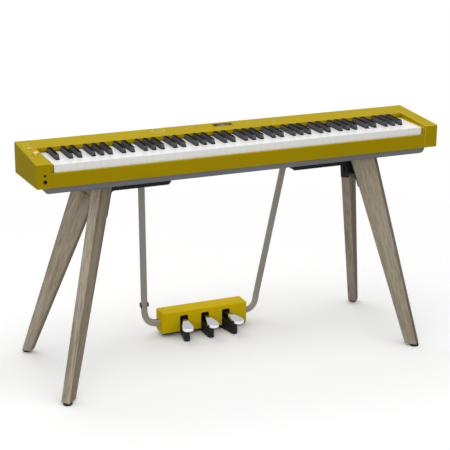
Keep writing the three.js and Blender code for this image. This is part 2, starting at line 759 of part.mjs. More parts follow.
// A black key: a raked cap that narrows upwards, and a low tail that runs on below the panel.
function blackKey(middle, level) {
  const ring = (half, front, z) => [
    [middle - half, front, z], [middle + half, front, z],
    [middle + half, blackCapEnd, z], [middle - half, blackCapEnd, z],
  ];
  const low = blackBase / 2;
  const high = blackCrown / 2;
  const shoulder = blackTop - blackRound;
  const foot = keyHeadEnd + blackSetback;
  return join([
    loft([
      ring(low, foot, blackUnder),
      ring(low, foot, keyTop),
      ring(high + keyGap / 2, foot + blackRake, shoulder),
      ring(high - keyGap, foot + blackCrownRake, blackTop),
    ]),
    block([middle - high, blackCapEnd - past, blackUnder], [middle + high, keyRear, blackTailTop]),
    tang(middle, level, blackUnder),
  ]);
}

// A comb of keys: the keys and the spine along their tangs.
const hingeY = (spineFront + spineBack) / 2;
const levelZ = (level) => spineLevel + level * (spineThick + seat) + spineThick / 2;
function spine(from, to, level) {
  return block(
    [from, spineFront, levelZ(level) - spineThick / 2],
    [to, spineBack, levelZ(level) + spineThick / 2]);
}
function comb(keys, from, to, level) {
  return geometryOf(join([spine(from, to, level), ...keys]));
}
const octaveWidth = octaveWhites * whitePitch;
const naturals = [[0, 2, 4, 6], [1, 3, 5]];
const sharpsAfter = [0, 1, 3, 4, 5];
const sharpMiddle = (i) => (tailSpan(i)[1] + tailSpan(i + 1)[0]) / 2;
const spineEnds = [keyGap, octaveWidth - keyGap];
const combs = [
  comb(naturals[0].map((i) => whiteKey(i, 0)), ...spineEnds, 0),
  comb(naturals[1].map((i) => whiteKey(i, 1)), ...spineEnds, 1),
  comb(sharpsAfter.map((i) => blackKey(sharpMiddle(i), 2)), ...spineEnds, 2),
];
const combNames = ["keys_ceg_b", "keys_dfa", "keys_sharp"];
const combPaint = [whitePlastic, whitePlastic, blackPlastic];
const firstC = -keysHalf + lowCount * whitePitch;
for (let octave = 0; octave < octaveCount; octave += 1) {
  combs.forEach((geometry, kind) => {
    place(`${combNames[kind]}_${octave + 1}`, geometry, combPaint[kind], firstC + octave * octaveWidth);
  });
}

// Single keys at both ends: the lowest A, A sharp and B, and the highest C.
function singleKey(name, solid, from, to, level, material, x) {
  place(name, comb([solid], from, to, level), material, x);
}
const lowFirst = octaveWhites - lowCount;
const lowStart = -keysHalf - lowFirst * whitePitch;
const [, lowTailEnd] = tailSpan(lowFirst);
const lowTail = [lowFirst * whitePitch, lowTailEnd];
const lowSharp = sharpMiddle(lowFirst);
singleKey("key_a_low", whiteKey(lowFirst, 0, lowTail),
  lowFirst * whitePitch + keyGap, lowSharp - tangWidth, 0, whitePlastic, lowStart);
singleKey("key_a_sharp_low", blackKey(lowSharp, 0),
  lowSharp - tangWidth / 2, lowSharp + tangWidth / 2, 0, blackPlastic, lowStart);
singleKey("key_b_low", whiteKey(lowFirst + 1, 0),
  lowSharp + tangWidth, octaveWidth - keyGap, 0, whitePlastic, lowStart);
singleKey("key_c_high", whiteKey(0, 0, [0, whitePitch]),
  keyGap, whitePitch - keyGap, 0, whitePlastic, firstC + octaveCount * octaveWidth);

// Plan of a leg at its foot or head: the outer corner, the next one across the board's thickness,
// and then the two corners at its inner end.
function legPlan([inset, depth, wide], thick, degrees, towards) {
  const angle = THREE.MathUtils.degToRad(degrees);
  const across = [Math.cos(angle), Math.sin(angle)];
  const inwards = [-Math.sin(angle) * towards, Math.cos(angle) * towards];
  const corner = [caseHalf - inset, caseMiddle + depth];
  const spot = (a, b) => corner.map((value, axis) => value + across[axis] * a + inwards[axis] * b);
  return [spot(0, 0), spot(thick, 0), spot(thick, wide), spot(0, wide)];
}
const frontPlans = [frontFoot, frontHead].map((size) => legPlan(size, frontThick, frontDegrees, 1));
const rearPlans = [rearFoot, rearHead].map((size) => legPlan(size, rearThick, rearDegrees, -1));

// A long edge of a leg runs straight from its foot to its head.
function edgeAt(plans, i, z) {
  const share = (z - glideTall) / (legTop - glideTall);
  const [foot, head] = plans.map((plan) => plan[i]);
  return [between(foot[0], head[0], share), between(foot[1], head[1], share), z];
}
const legRing = (plans, z) => plans[0].map((corner, i) => edgeAt(plans, i, z));
const legWide = (plans, z) => {
  const [outer, , , inner] = legRing(plans, z);
  return Math.hypot(inner[0] - outer[0], inner[1] - outer[1]);
};

// A point of a leg at a height, by its shares along the board's width and across its thickness.
function legPoint(plans, z, along, across) {
  const [outer, outerFar, innerFar, inner] = legRing(plans, z);
  const spot = (axis) => between(
    between(outer[axis], outerFar[axis], across), between(inner[axis], innerFar[axis], across), along);
  return [spot(0), spot(1), z];
}
// The foot of a leg is cut off at a slant on its inner end.
function footRing(plans) {
  const share = 1 - footChamfer / legWide(plans, glideTall);
  return [[0, 0], [0, 1], [share, 1], [share, 0]].map(([along, across]) =>
    legPoint(plans, glideTall, along, across));
}
const vector = (point) => new THREE.Vector3(...point);
function ringMiddle(ring) {
  const sum = ring.reduce((total, point) => total.add(vector(point)), new THREE.Vector3());
  return sum.divideScalar(ring.length);
}
const rearTop = ringMiddle(legRing(rearPlans, legTop));
const rearAxis = rearTop.clone().sub(ringMiddle(legRing(rearPlans, glideTall))).normalize();
// The ring where a rear leg is cut square to its own length, shifted along it by a small amount.
function jointRing(shift) {
  const level = rearAxis.dot(rearTop) - jointDrop + shift;
  return rearPlans[0].map((corner, i) => {
    const low = rearAxis.dot(vector(edgeAt(rearPlans, i, glideTall)));
    const high = rearAxis.dot(vector(edgeAt(rearPlans, i, legTop)));
    return edgeAt(rearPlans, i, between(glideTall, legTop, (level - low) / (high - low)));
  });
}
function bridgeRing(z) {
  return [
    ...bridgeShares.map(([along, across]) => legPoint(frontPlans, z, along, across)),
    ...[...bridgeShares].reverse().map(([along, across]) => legPoint(rearPlans, z, along, across)),
  ];
}
const toSide = (ring, side) => ring.map(([x, y, z]) => [side * x, y, z]);
const sideLoft = (rings, side) => loft(rings.map((ring) => toSide(ring, side)));
const footEdge = glideTall + footChamferRise;
function frontLeg(side) {
  return join([
    sideLoft([footRing(frontPlans), legRing(frontPlans, footEdge), legRing(frontPlans, legTop)], side),
    sideLoft([jointRing(seat), legRing(rearPlans, legTop)], side),
    sideLoft([bridgeRing(legTop - bridgeDrop), bridgeRing(legTop)], side),
  ]);
}
function rearLeg(side) {
  return sideLoft([footRing(rearPlans), legRing(rearPlans, footEdge), jointRing(0)], side);
}
const glideProfile = [
  [0, 0],
  [glideRadius - glideEdge, 0],
  [glideRadius, glideEdge],
  [glideRadius, glideTall - seat],
  [0, glideTall - seat],
].map(([radius, height]) => new THREE.Vector2(radius, height));
const glideTurned = new THREE.LatheGeometry(glideProfile, roundSides);
glideTurned.rotateX(Math.PI / 2);
const glide = geometryOf(solidOf(glideTurned));
const glideAt = (plans, thick) => legPoint(
  plans, glideTall, glidePlace[1] / legWide(plans, glideTall), glidePlace[0] / thick);
const glideFront = glideAt(frontPlans, frontThick);
const glideRear = glideAt(rearPlans, rearThick);
for (const [word, side] of [["left", -1], ["right", 1]]) {
  place(`leg_front_${word}`, frontLeg(side), wood);
  place(`leg_rear_${word}`, rearLeg(side), wood);
  place(`glide_front_${word}`, glide, rubberBlack, side * glideFront[0], glideFront[1]);
  place(`glide_rear_${word}`, glide, rubberBlack, side * glideRear[0], glideRear[1]);
}

// Steel brackets: a channel under the tray whose walls run into a web between the two legs, and from
// the web a wing bent onto the inner end of each leg.
function beyondEnd(plans, z, depth, across) {
  return legPoint(plans, z, 1 + depth / legWide(plans, z), across);
}
const wingRing = (plans) => (z) => {
  const near = [0, 1].map((across) => beyondEnd(plans, z, seat, across));
  const far = [1, 0].map((across) => beyondEnd(plans, z, seat + bracketSheet, across));
  return [...near, ...far];
};
const webEnds = (z) => [frontPlans, rearPlans].map((plans) => beyondEnd(plans, z, seat, 1));
function webRing(z) {
  const [near, far] = webEnds(z);
  return [near, far, [far[0] - bracketSheet, far[1], z], [near[0] - bracketSheet, near[1], z]];
}
const [[webX, bracketFront], [, bracketBack]] = webEnds(legTop);
const bracketInner = webX - bracketLong;
const channelEdge = legTop - bracketDrop;
const curveEnd = channelEdge - filletDrop;
const curveStart = webX - gussetWide - bracketFillet;
const wallEnd = (z) => webEnds(z)[0][0] - bracketSheet / 2;
const wallOutline = [
  [bracketInner, legTop],
  [bracketInner, channelEdge + bracketChamfer],
  [bracketInner + bracketChamfer, channelEdge],
  ...arc([0, 0], 1, 90, 0).map(([a, b]) => [curveStart + a * bracketFillet, curveEnd + b * filletDrop]),
  [wallEnd(curveEnd - gussetFall), curveEnd - gussetFall],
  [wallEnd(legTop), legTop],
];
function bracket(side) {
  const outline = wallOutline.map(([x, z]) => [z, side * x]);
  const low = Math.min(side * bracketInner, side * wallEnd(legTop));
  const high = Math.max(side * bracketInner, side * wallEnd(legTop));
  return join([
    block([low, bracketFront, legTop - bracketSheet], [high, bracketBack, legTop]),
    extrude(outline, "y", bracketFront, bracketFront + bracketSheet),
    extrude(outline, "y", bracketBack - bracketSheet, bracketBack),
    sideLoft([legTop - webDrop, legTop].map(webRing), side),
    sideLoft([legTop - wingDrop, legTop].map(wingRing(frontPlans)), side),
    sideLoft([legTop - wingDrop, legTop].map(wingRing(rearPlans)), side),
  ]);
}
place("bracket_left", bracket(-1), blackSteel);
place("bracket_right", bracket(1), blackSteel);

// Hanging bars. The centre line bends forward under the tray at the top and inwards at the bottom.
const barDirection = vector(barLow).sub(vector(barHigh)).normalize();
const tabZ = legTop - barThick / 2;
function barAt(z) {
  const steps = (z - barHigh[2]) / barDirection.z;
  return vector(barHigh).addScaledVector(barDirection, steps);
}
const topCorner = barAt(tabZ);
const topStart = barAt(tabZ - barTopBend);
const tabBend = topCorner.clone().setY(topCorner.y - barTopBend);
const tabEnd = topCorner.clone().setY(caseDepth - barTabInset);
const topCurve = new THREE.QuadraticBezierCurve3(tabBend, topCorner, topStart);
const lowCurve = new THREE.QuadraticBezierCurve3(vector(barLow), vector(barCorner), vector(barEntry));
const barLine = [
  tabEnd,
  ...topCurve.getPoints(bendSteps),
  ...lowCurve.getPoints(bendSteps + 2),
  vector(barEnd),
];
// Directions across the bar: its width lies near X above and near Z below, its thickness the other way.
function barFrames(line) {
  return line.map((point, i) => {
    const before = line[Math.max(i - 1, 0)];
    const after = line[Math.min(i + 1, line.length - 1)];
    const along = after.clone().sub(before).normalize();
    const low = i > bendSteps + 1;
    const guide = low ? new THREE.Vector3(0, 1, 0) : new THREE.Vector3(1, 0, 0);
    const first = guide.addScaledVector(along, -guide.dot(along)).normalize();
    const second = first.clone().cross(along);
    return low ? { point, wide: second, thick: first } : { point, wide: first, thick: second };
  });
}
const halfWide = barWide / 2;
const halfThick = barThick / 2;
const barSection = [
  [halfWide - barEdge, -halfThick], [halfWide, -halfThick + barEdge],
  [halfWide, halfThick - barEdge], [halfWide - barEdge, halfThick],
  [-halfWide + barEdge, halfThick], [-halfWide, halfThick - barEdge],
  [-halfWide, -halfThick + barEdge], [-halfWide + barEdge, -halfThick],
];
function alignFrames(frames) {
  frames.forEach((frame, i) => {
    if (i > 0 && frame.wide.dot(frames[i - 1].wide) < 0) {
      frame.wide.negate();
    }
    if (i > 0 && frame.thick.dot(frames[i - 1].thick) < 0) {
      frame.thick.negate();
    }
  });
  return frames;
}
const frames = alignFrames(barFrames(barLine));
function bar(side) {
  return loft(frames.map(({ point, wide, thick }) => toSide(barSection.map(([a, b]) =>
    point.clone().addScaledVector(wide, a).addScaledVector(thick, b).toArray()), side)));
}
place("pedal_bar_left", bar(-1), barPaint);
place("pedal_bar_right", bar(1), barPaint);

// Pedal box: a cover open below, with three slots in front, a hole for a bar in each side
// and a small hole for the lead in the left side.
const pedalX = (i) => (i - (pedalCount - 1) / 2) * pedalPitch;
let box = block([-boxHalf, boxFront, boxBottom], [boxHalf, boxBack, boxTop]).subtract(block(
  [-boxHalf + boxWall, boxFront + boxWall, boxBottom - past],
  [boxHalf - boxWall, boxBack - boxWall, boxTop - boxWall]));
for (let i = 0; i < pedalCount; i += 1) {
  const x = pedalX(i);
  const opening = [
    [x - slotHalf, boxBottom - past],
    [x + slotHalf, boxBottom - past],
    ...arc([x + slotHalf - slotRound, slotTop - slotRound], slotRound, 0, 90, 3),
    ...arc([x - slotHalf + slotRound, slotTop - slotRound], slotRound, 90, 180, 3),
  ].map(([a, b]) => [b, a]).reverse();
  box = box.subtract(extrude(opening, "y", boxFront - past, boxFront + boxWall + past));
}
const entryPoint = vector(barEntry).lerp(vector(barEnd), (barEntry[0] - boxHalf) / (barEntry[0] - barEnd[0]));
for (const side of [-1, 1]) {
  const near = side * (boxHalf - boxWall - past);
  const far = side * (boxHalf + past);
  box = box.subtract(block(
    [Math.min(near, far), entryPoint.y - halfThick - seat * 2, entryPoint.z - halfWide - seat],
    [Math.max(near, far), entryPoint.y + halfThick + seat * 2, entryPoint.z + halfWide + seat]));
}
box = box.subtract(rod("x", [leadEntry[1], leadEntry[2]], leadRadius + seat,
  -boxHalf - past, -boxHalf + boxWall + past, smallSides));
place("pedal_box", box, mustard);

// Base of the pedal box: a plate under the walls and three supports that stand on the floor in front.
const splay = (i) => THREE.MathUtils.degToRad((1 - i) * -splayDegrees);
function splayed(geometry, i) {
  geometry.translate(0, -boxFront, 0);
  geometry.rotateZ(splay(i));
  geometry.translate(pedalX(i), boxFront, 0);
  return geometry;
}
const supportOutline = [
  [supportHalf, supportBack],
  [-supportHalf, supportBack],
  [-supportHalf, boxFront - past],
  ...arc([0, supportFront + supportHalf], supportHalf, 180, 360, bendSteps),
  [supportHalf, boxFront - past],
];
function support(i) {
  const shape = new THREE.Shape(supportOutline.map(([a, b]) => new THREE.Vector2(a, b)));
  const geometry = new THREE.ExtrudeGeometry(shape, { depth: supportTop, bevelEnabled: false });
  const spots = geometry.attributes.position;
  for (let k = 0; k < spots.count; k += 1) {
    const y = spots.getY(k);
    if (spots.getZ(k) > 0) {
      spots.setZ(k, y > boxFront ? boxBottom - seat : supportTop + (y - supportFront) * supportRiseShare);
    }
  }
  return solidOf(splayed(geometry, i));
}
const basePlate = block(
  [-boxHalf + baseEdge, boxFront + baseEdge, boxBottom - seat - baseThick],
  [boxHalf - baseEdge, boxBack - baseEdge, boxBottom - seat]);
place("pedal_base", join([basePlate, support(0), support(1), support(2)]), blackPlastic);

// Pedals on one shaft: an eye and arm inside the box, then a plate that widens to a pear-shaped tip.
place("pedal_shaft", rod("x", [shaftY, shaftZ], shaftRadius,
  -boxHalf + boxWall + seat, boxHalf - boxWall - seat), zincSteel);
const tipMiddle = pedalTip + tipHalf;
const pedalPlan = [
  [armHalf, shaftY],
  [-armHalf, shaftY],
  [-armHalf, boxFront - past],
  [-between(armHalf, tipHalf, flareShares[0]), between(boxFront, tipMiddle, flareShares[1])],
  ...arc([0, tipMiddle], tipHalf, 170, 370, bendSteps * 2),
  [between(armHalf, tipHalf, flareShares[0]), between(boxFront, tipMiddle, flareShares[1])],
  [armHalf, boxFront - past],
];
const pedalRise = (y) => Math.min(y - boxFront, 0) * pedalFallShare;
const eyeHole = rod("x", [shaftY, shaftZ], shaftRadius + seat, -boxHalf, boxHalf);
function pedal(i) {
  const shape = new THREE.Shape(pedalPlan.map(([a, b]) => new THREE.Vector2(a, b)));
  const geometry = new THREE.ExtrudeGeometry(shape, { depth: pedalThick, bevelEnabled: false });
  geometry.translate(0, 0, pedalTop - pedalThick);
  const spots = geometry.attributes.position;
  for (let k = 0; k < spots.count; k += 1) {
    spots.setZ(k, spots.getZ(k) + pedalRise(spots.getY(k)));
  }
  const eye = rod("x", [shaftY, shaftZ], eyeRadius, pedalX(i) - armHalf, pedalX(i) + armHalf);
  return solidOf(splayed(geometry, i)).add(eye).subtract(eyeHole);
}
["left", "middle", "right"].forEach((word, i) => {
  place(`pedal_${word}`, pedal(i), chrome);
});

// Lead from the pedal box up the back of the left bar to a plug in the rear wall.
const barBackward = new THREE.Vector3(0, 1, 0).addScaledVector(barDirection, -barDirection.y).normalize();
const leadOffset = halfThick + leadRadius + seat * 2 + clipThick;
function behindBar(z) {
  const point = barAt(z).addScaledVector(barBackward, leadOffset);
  return new THREE.Vector3(-point.x, point.y, point.z);
}
const plugEnd = new THREE.Vector3(leadX, caseDepth + seat + plugLong, socketZ);
const leadCurve = new THREE.CatmullRomCurve3([
  vector(leadEntry),
  vector(leadEntry).setX(-boxHalf - plugLong / 2),
  behindBar(clipZ - clipTall * 2).add(new THREE.Vector3(plugRadius, 0, -plugRadius)),
  behindBar(clipZ),
  behindBar(between(clipZ, barHigh[2], leadShares[0])),
  behindBar(between(clipZ, barHigh[2], leadShares[1])),
  behindBar(barHigh[2]),
  behindBar(trayBottom - barTopBend),
  plugEnd.clone().add(new THREE.Vector3(0, leadBend, -plugLong / 2)),
  plugEnd,
], false, "centripetal");
const leadSection = new THREE.Shape();
for (let i = 0; i < leadSides; i += 1) {
  const angle = (i / leadSides) * 2 * Math.PI;
  const spot = [leadRadius * Math.cos(angle), leadRadius * Math.sin(angle)];
  if (i === 0) {
    leadSection.moveTo(...spot);
  } else {
    leadSection.lineTo(...spot);
  }
}
const leadSteps = 44;
const leadTube = new THREE.ExtrudeGeometry(leadSection, {
  steps: leadSteps, bevelEnabled: false, extrudePath: leadCurve });
const lead = join([
  solidOf(leadTube),
  rod("y", [socketZ, leadX], plugRadius, caseDepth + seat, caseDepth + seat + plugLong, smallSides),
  rod("y", [socketZ, leadX], socketBore - seat, caseDepth - phonesBore + seat * 2,
    caseDepth + plugLong / 2, smallSides),
]);
place("pedal_lead", lead, rubberBlack);

// Clip: a band round the back and sides of the left bar, with a loop that holds the lead behind it.
const clipPoint = barAt(clipZ);
const clipHalf = clipWide / 2;
const clipReach = halfThick + clipThick + seat;
const clipBack = leadOffset + leadRadius + seat * 2;
const clipOuter = block([-clipHalf, -clipReach, -clipTall / 2], [clipHalf, clipReach, clipTall / 2]);
const clipLoop = block(
  [-plugRadius, 0, -clipTall / 2], [plugRadius, clipBack + clipThick, clipTall / 2]);
const clipBarHole = block(
  [-halfWide - seat, -halfThick - seat, -clipTall], [halfWide + seat, halfThick + seat, clipTall]);
const clipLeadHole = rod("z", [0, leadOffset], leadRadius + seat * 2, -clipTall, clipTall, smallSides);
const clipMouth = block([-halfWide - seat, -clipReach - past, -clipTall], [halfWide + seat, 0, clipTall]);
const clipBody = join([clipOuter, clipLoop]).subtract(clipBarHole).subtract(clipMouth).subtract(clipLeadHole);
const clip = place("lead_clip", clipBody, rubberBlack,
  -clipPoint.x, clipPoint.y, clipPoint.z);
const clipAxis = new THREE.Vector3(barDirection.x, -barDirection.y, -barDirection.z);
clip.quaternion.setFromUnitVectors(new THREE.Vector3(0, 0, 1), clipAxis);

// The origin is on the floor, under the middle of the whole object.
piano.updateMatrixWorld(true);
const extent = new THREE.Box3().setFromObject(piano);
piano.position.y = -(extent.min.y + extent.max.y) / 2;
export default piano;
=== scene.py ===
# %% [markdown]
# # A digital piano on splayed wooden legs
# The part's CAD solids already stand in the shared frame, so this scene gives each of them its real
# look. Thin housings keep their CAD mesh and get soft edges from modifiers. Keys, legs, pedals and
# small fittings are modelled again here, because their rounded shapes are what catches the light.

# %% Load the frame
import math

import bmesh
import bpy
from mathutils import Matrix, Vector


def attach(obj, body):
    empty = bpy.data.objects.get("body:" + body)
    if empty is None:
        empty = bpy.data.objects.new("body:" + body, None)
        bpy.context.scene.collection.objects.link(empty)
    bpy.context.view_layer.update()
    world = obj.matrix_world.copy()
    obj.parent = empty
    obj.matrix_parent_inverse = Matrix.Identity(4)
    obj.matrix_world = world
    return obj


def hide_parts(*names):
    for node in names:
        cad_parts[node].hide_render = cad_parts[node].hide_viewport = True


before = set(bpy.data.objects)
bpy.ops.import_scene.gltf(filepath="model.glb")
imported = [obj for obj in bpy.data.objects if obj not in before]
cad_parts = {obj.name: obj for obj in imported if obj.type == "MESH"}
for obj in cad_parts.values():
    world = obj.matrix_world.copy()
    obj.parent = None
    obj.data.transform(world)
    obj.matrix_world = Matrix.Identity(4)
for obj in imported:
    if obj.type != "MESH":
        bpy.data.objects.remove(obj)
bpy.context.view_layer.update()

# %% [markdown]
# ## Units and places
# The frame is in metres with its origin under the middle of the whole object. The case is easier to
# describe in millimetres from its own front edge, so one helper turns such a place into the frame.

# %% Millimetres from the front of the case
case_front = -193.6


def at(x, y, z):
    """A place given in millimetres from the case's middle, its front face and the floor."""
    return Vector((x, y + case_front, z)) / 1000


def about_origin(x, y, z):
    """A place given in millimetres from the origin, where small fittings are drawn first."""
    return Vector((x, y, z)) / 1000


case_depth = 242
front_top = 751.4
top_rise = 13.6
top_slope = top_rise / case_depth
top_tilt = Matrix.Rotation(math.atan(top_slope), 4, "X")
both_sides = (("left", -1), ("right", 1))


def top_place(x, y):
    """The matrix that stands a shape drawn about the origin on the sloping top of the case."""
    return Matrix.Translation(at(x, y, front_top + top_slope * y)) @ top_tilt


print("front edge of the case at", at(0, 0, front_top))

# %% [markdown]
# ## Camera
# The photograph looks down from the player's left with a long lens. The place, the turn and the
# lens were found from the corners of the case, the keys and the mirrored legs.

# %% Camera
photo_width = 450
focal_pixels = 1371.7
camera_place = (-1668, -3707, 1813)
yaw = math.radians(23.22)
pitch = math.radians(18.02)
roll = math.radians(0.38)
camera_data = bpy.data.cameras.new("camera")
camera_data.sensor_width = 36
camera_data.lens = focal_pixels / photo_width * camera_data.sensor_width
camera = bpy.data.objects.new("camera", camera_data)
bpy.context.collection.objects.link(camera)
camera.matrix_world = (
    Matrix.Translation(at(*camera_place))
    @ Matrix.Rotation(-yaw, 4, "Z")
    @ Matrix.Rotation(math.pi / 2 - pitch, 4, "X")
    @ Matrix.Rotation(roll, 4, "Z")
)
bpy.context.scene.camera = camera
bpy.context.scene.view_settings.view_transform = "Standard"
print("lens", round(camera_data.lens, 2), "mm")

# %% [markdown]
# ## A bench for materials
# Every finish is a small network of nodes on Object coordinates: a broad noise that varies the
# colour, a fine one that roughens the surface, and a bump. These helpers keep each recipe short.


# %% Helpers for finishes
def new_node(nodes, kind, **values):
    """A node with its inputs set by name, where an underscore stands for a space."""
    node = nodes.new(kind)
    for socket, value in values.items():
        node.inputs[socket.replace("_", " ")].default_value = value
    return node


class Finish:
    """A new material with its shader at hand."""

    def __init__(self, name):
        self.material = bpy.data.materials.new(name)
        self.material.use_nodes = True
        self.nodes = self.material.node_tree.nodes
        self.links = self.material.node_tree.links
        self.shader = self.nodes["Principled BSDF"]
        self.place = self.nodes.new("ShaderNodeTexCoord").outputs["Object"]

    def join(self, start, node, socket):
        self.links.new(start, node.inputs[socket])

    def put(self, socket, output):
        self.join(output, self.shader, socket)

    def turned(self, rotation, scale):
        """Object coordinates turned to a piece's own direction, then stretched."""
        turn = new_node(self.nodes, "ShaderNodeMapping", Rotation=rotation)
        self.join(self.place, turn, "Vector")
        stretch = new_node(self.nodes, "ShaderNodeMapping", Scale=scale)
        self.join(turn.outputs["Vector"], stretch, "Vector")
        return stretch.outputs["Vector"]

    def noise(self, scale, detail=3, where=None, rough=0.5):
        node = new_node(
            self.nodes, "ShaderNodeTexNoise", Scale=scale, Detail=detail, Roughness=rough)
        self.join(where or self.place, node, "Vector")
        return node.outputs["Fac"]

    def ramp(self, factor, *stops):
        """Colours placed along a factor from 0 to 1."""
        node = self.nodes.new("ShaderNodeValToRGB")
        points = node.color_ramp.elements
        while len(points) < len(stops):
            points.new(0.5)
        for point, (place, colour) in zip(points, stops):
            point.position = place
            point.color = (*colour, 1)
        self.join(factor, node, "Fac")
        return node.outputs["Color"]

    def spread(self, factor, low, high):
        """A number between low and high, by a factor near the middle of its range."""
        node = new_node(
            self.nodes, "ShaderNodeMapRange", From_Min=0.3, From_Max=0.7, To_Min=low, To_Max=high)
        self.join(factor, node, "Value")
        return node.outputs["Result"]

    def bump(self, height, strength, distance):
        node = new_node(self.nodes, "ShaderNodeBump", Strength=strength, Distance=distance)
        self.join(height, node, "Height")
        self.put("Normal", node.outputs["Normal"])

    def multiplied(self, first, second):
        """The product of two colours."""
        node = self.nodes.new("ShaderNodeMix")
        node.data_type = "RGBA"
        node.blend_type = "MULTIPLY"
        node.inputs["Factor"].default_value = 1
        self.join(first, node, "A")
        self.join(second, node, "B")
        return [out for out in node.outputs if out.type == "RGBA"][0]

    def facing(self, axis):
        """How far a face looks along an axis: 1 for a face square to it, 0 or less for the others."""
        split = self.nodes.new("ShaderNodeSeparateXYZ")
        self.join(self.place.node.outputs["Normal"], split, "Vector")
        return split.outputs[axis]

    def keep(self, **values):
        """Sets the shader's plain values and gives the material."""
        for socket, value in values.items():
            self.shader.inputs[socket.replace("_", " ")].default_value = value
        return self.material


def mixed(colour, share):
    """A colour made lighter or darker by a share."""
    return tuple(value * share for value in colour)


def moulded(name, colour, rough, grain, depth, vary=0.08, **values):
    """A moulded or painted surface: broad tone changes, a fine grain and an uneven gloss."""
    finish = Finish(name)
    broad = finish.noise(5, 2)
    finish.put("Base Color", finish.ramp(
        broad, (0.3, mixed(colour, 1 - vary)), (0.7, mixed(colour, 1 + vary))))
    finish.put("Roughness", finish.spread(finish.noise(70), rough - 0.05, rough + 0.05))
    finish.bump(finish.noise(grain, 2), depth, 0.0002)
    return finish.keep(**values)


def paint_with_top_sheen(name, wall, top):
    """Satin paint with a slow unevenness; faces that look up get a paler tone, a painted sheen."""
    finish = Finish(name)
    cloudy = finish.ramp(finish.noise(5, 2), (0.3, (0.93, 0.93, 0.93)), (0.7, (1, 1, 1)))
    # The paler tone on faces that look up is painted sheen, light that falls on the tops.
    painted_top_sheen = finish.ramp(finish.facing("Z"), (0.5, wall), (0.95, top))
    finish.put("Base Color", finish.multiplied(cloudy, painted_top_sheen))
    finish.put("Roughness", finish.spread(finish.noise(70), 0.45, 0.55))
    finish.bump(finish.noise(1800, 2), 0.12, 0.0002)
    return finish.keep(Specular_IOR_Level=0.01)


# %% [markdown]
# ## Plastic, paint and metal
# The case is a satin mustard with a very fine grain, the tray a rougher grey. White keys are smooth
# and a little glossy, black keys are matt with fine streaks along them, as wood-effect keys have.

# %% Plastics
# The top colour is a paler mustard, a painted sheen on the case's upper faces.
mustard = paint_with_top_sheen("case_mustard", wall=(0.445, 0.318, 0.0026), top=(0.53, 0.395, 0.012))
# The pedal box's mustard is nearly twice as bright as the case's: painted light on the box.
box_mustard_painted_light = paint_with_top_sheen("box_mustard_painted_light", wall=(0.84, 0.6, 0.004), top=(0.82, 0.585, 0.015))
# A lighter, glossier mustard for the bevels of the case: a painted highlight along its edges.
painted_edge_highlight = moulded(
    "case_edge_highlight", (0.85, 0.68, 0.12), rough=0.45, grain=1800, depth=0.12, vary=0.04,
    Specular_IOR_Level=0.2)
grey = moulded(
    "tray_grey", (0.265, 0.261, 0.285), rough=0.6, grain=1100, depth=0.35, Specular_IOR_Level=0.1)
white = moulded(
    "key_white", (0.97, 0.97, 0.96), rough=0.35, grain=400, depth=0.03, vary=0.01,
    Coat_Weight=0.1, Coat_Roughness=0.2)
black_plastic = moulded(
    "trim_black", (0.013, 0.013, 0.015), rough=0.5, grain=1300, depth=0.3, Specular_IOR_Level=0.25)
rubber = moulded("glide_rubber", (0.012, 0.012, 0.012), rough=0.8, grain=900, depth=0.5)
button_white = moulded(
    "button_white", (0.66, 0.53, 0.14), rough=0.35, grain=600, depth=0.08, vary=0.03,
    Specular_IOR_Level=0.2)
glass = moulded(
    "display_glass", (0.006, 0.006, 0.008), rough=0.35, grain=300, depth=0.02,
    Specular_IOR_Level=0.02)

# %% Black keys' finish
ebony = Finish("key_black")
streaks = ebony.turned((0, 0, 0), (900, 25, 900))
rubbed = ebony.ramp(
    ebony.noise(1, 4, streaks), (0.35, (0.092, 0.089, 0.096)), (0.7, (0.16, 0.156, 0.168)))
# Faces that look up are made near-black while the walls keep a lighter tone: painted shade on the key
# tops.
painted_top_shade = ebony.ramp(ebony.facing("Z"), (0.35, (1, 1, 1)), (0.8, (0.04, 0.04, 0.044)))
ebony.put("Base Color", ebony.multiplied(rubbed, painted_top_shade))
ebony.put("Roughness", ebony.spread(ebony.noise(200), 0.45, 0.55))
ebony.bump(ebony.noise(1, 4, streaks), 0.3, 0.0002)
ebony = ebony.keep(Specular_IOR_Level=0.005)

# %% Metals
bracket_black = moulded(
    "bracket_black", (0.007, 0.007, 0.0078), rough=0.5, grain=1500, depth=0.45,
    Specular_IOR_Level=0.2)
bar_paint = moulded(
    "bar_paint", (0.46, 0.422, 0.365), rough=0.5, grain=1600, depth=0.25, Specular_IOR_Level=0.2)
steel = moulded("steel", (0.55, 0.56, 0.57), rough=0.32, grain=900, depth=0.12, Metallic=1)
champagne = moulded(
    "knob_gold", (0.86, 0.68, 0.2), rough=0.3, grain=900, depth=0.1, vary=0.03,
    Metallic=0.35, Specular_IOR_Level=0.3)
chrome = Finish("pedal_chrome")
worn = chrome.ramp(chrome.noise(60, 2), (0.3, (0.95, 0.95, 0.96)), (0.7, (1, 1, 1)))
# Faces that look up get about half the brightness: a painted darker reflection on the plate's top, while
# the rim stays bright.
painted_dark_top_reflection = chrome.ramp(chrome.facing("Z"), (0.7, (0.98, 0.98, 1)), (0.97, (0.49, 0.5, 0.54)))
chrome.put("Base Color", chrome.multiplied(worn, painted_dark_top_reflection))
chrome.put("Roughness", chrome.spread(chrome.noise(70), 0.06, 0.13))
chrome = chrome.keep(Metallic=1)

# %% Felt, board and speaker
felt = Finish("felt_red")
fibres = felt.noise(1500, 6)
felt.put("Base Color", felt.ramp(fibres, (0.3, (0.12, 0.008, 0.01)), (0.7, (0.25, 0.02, 0.025))))
felt.bump(fibres, 0.9, 0.0006)
felt = felt.keep(Roughness=0.95, Sheen_Weight=0.5)

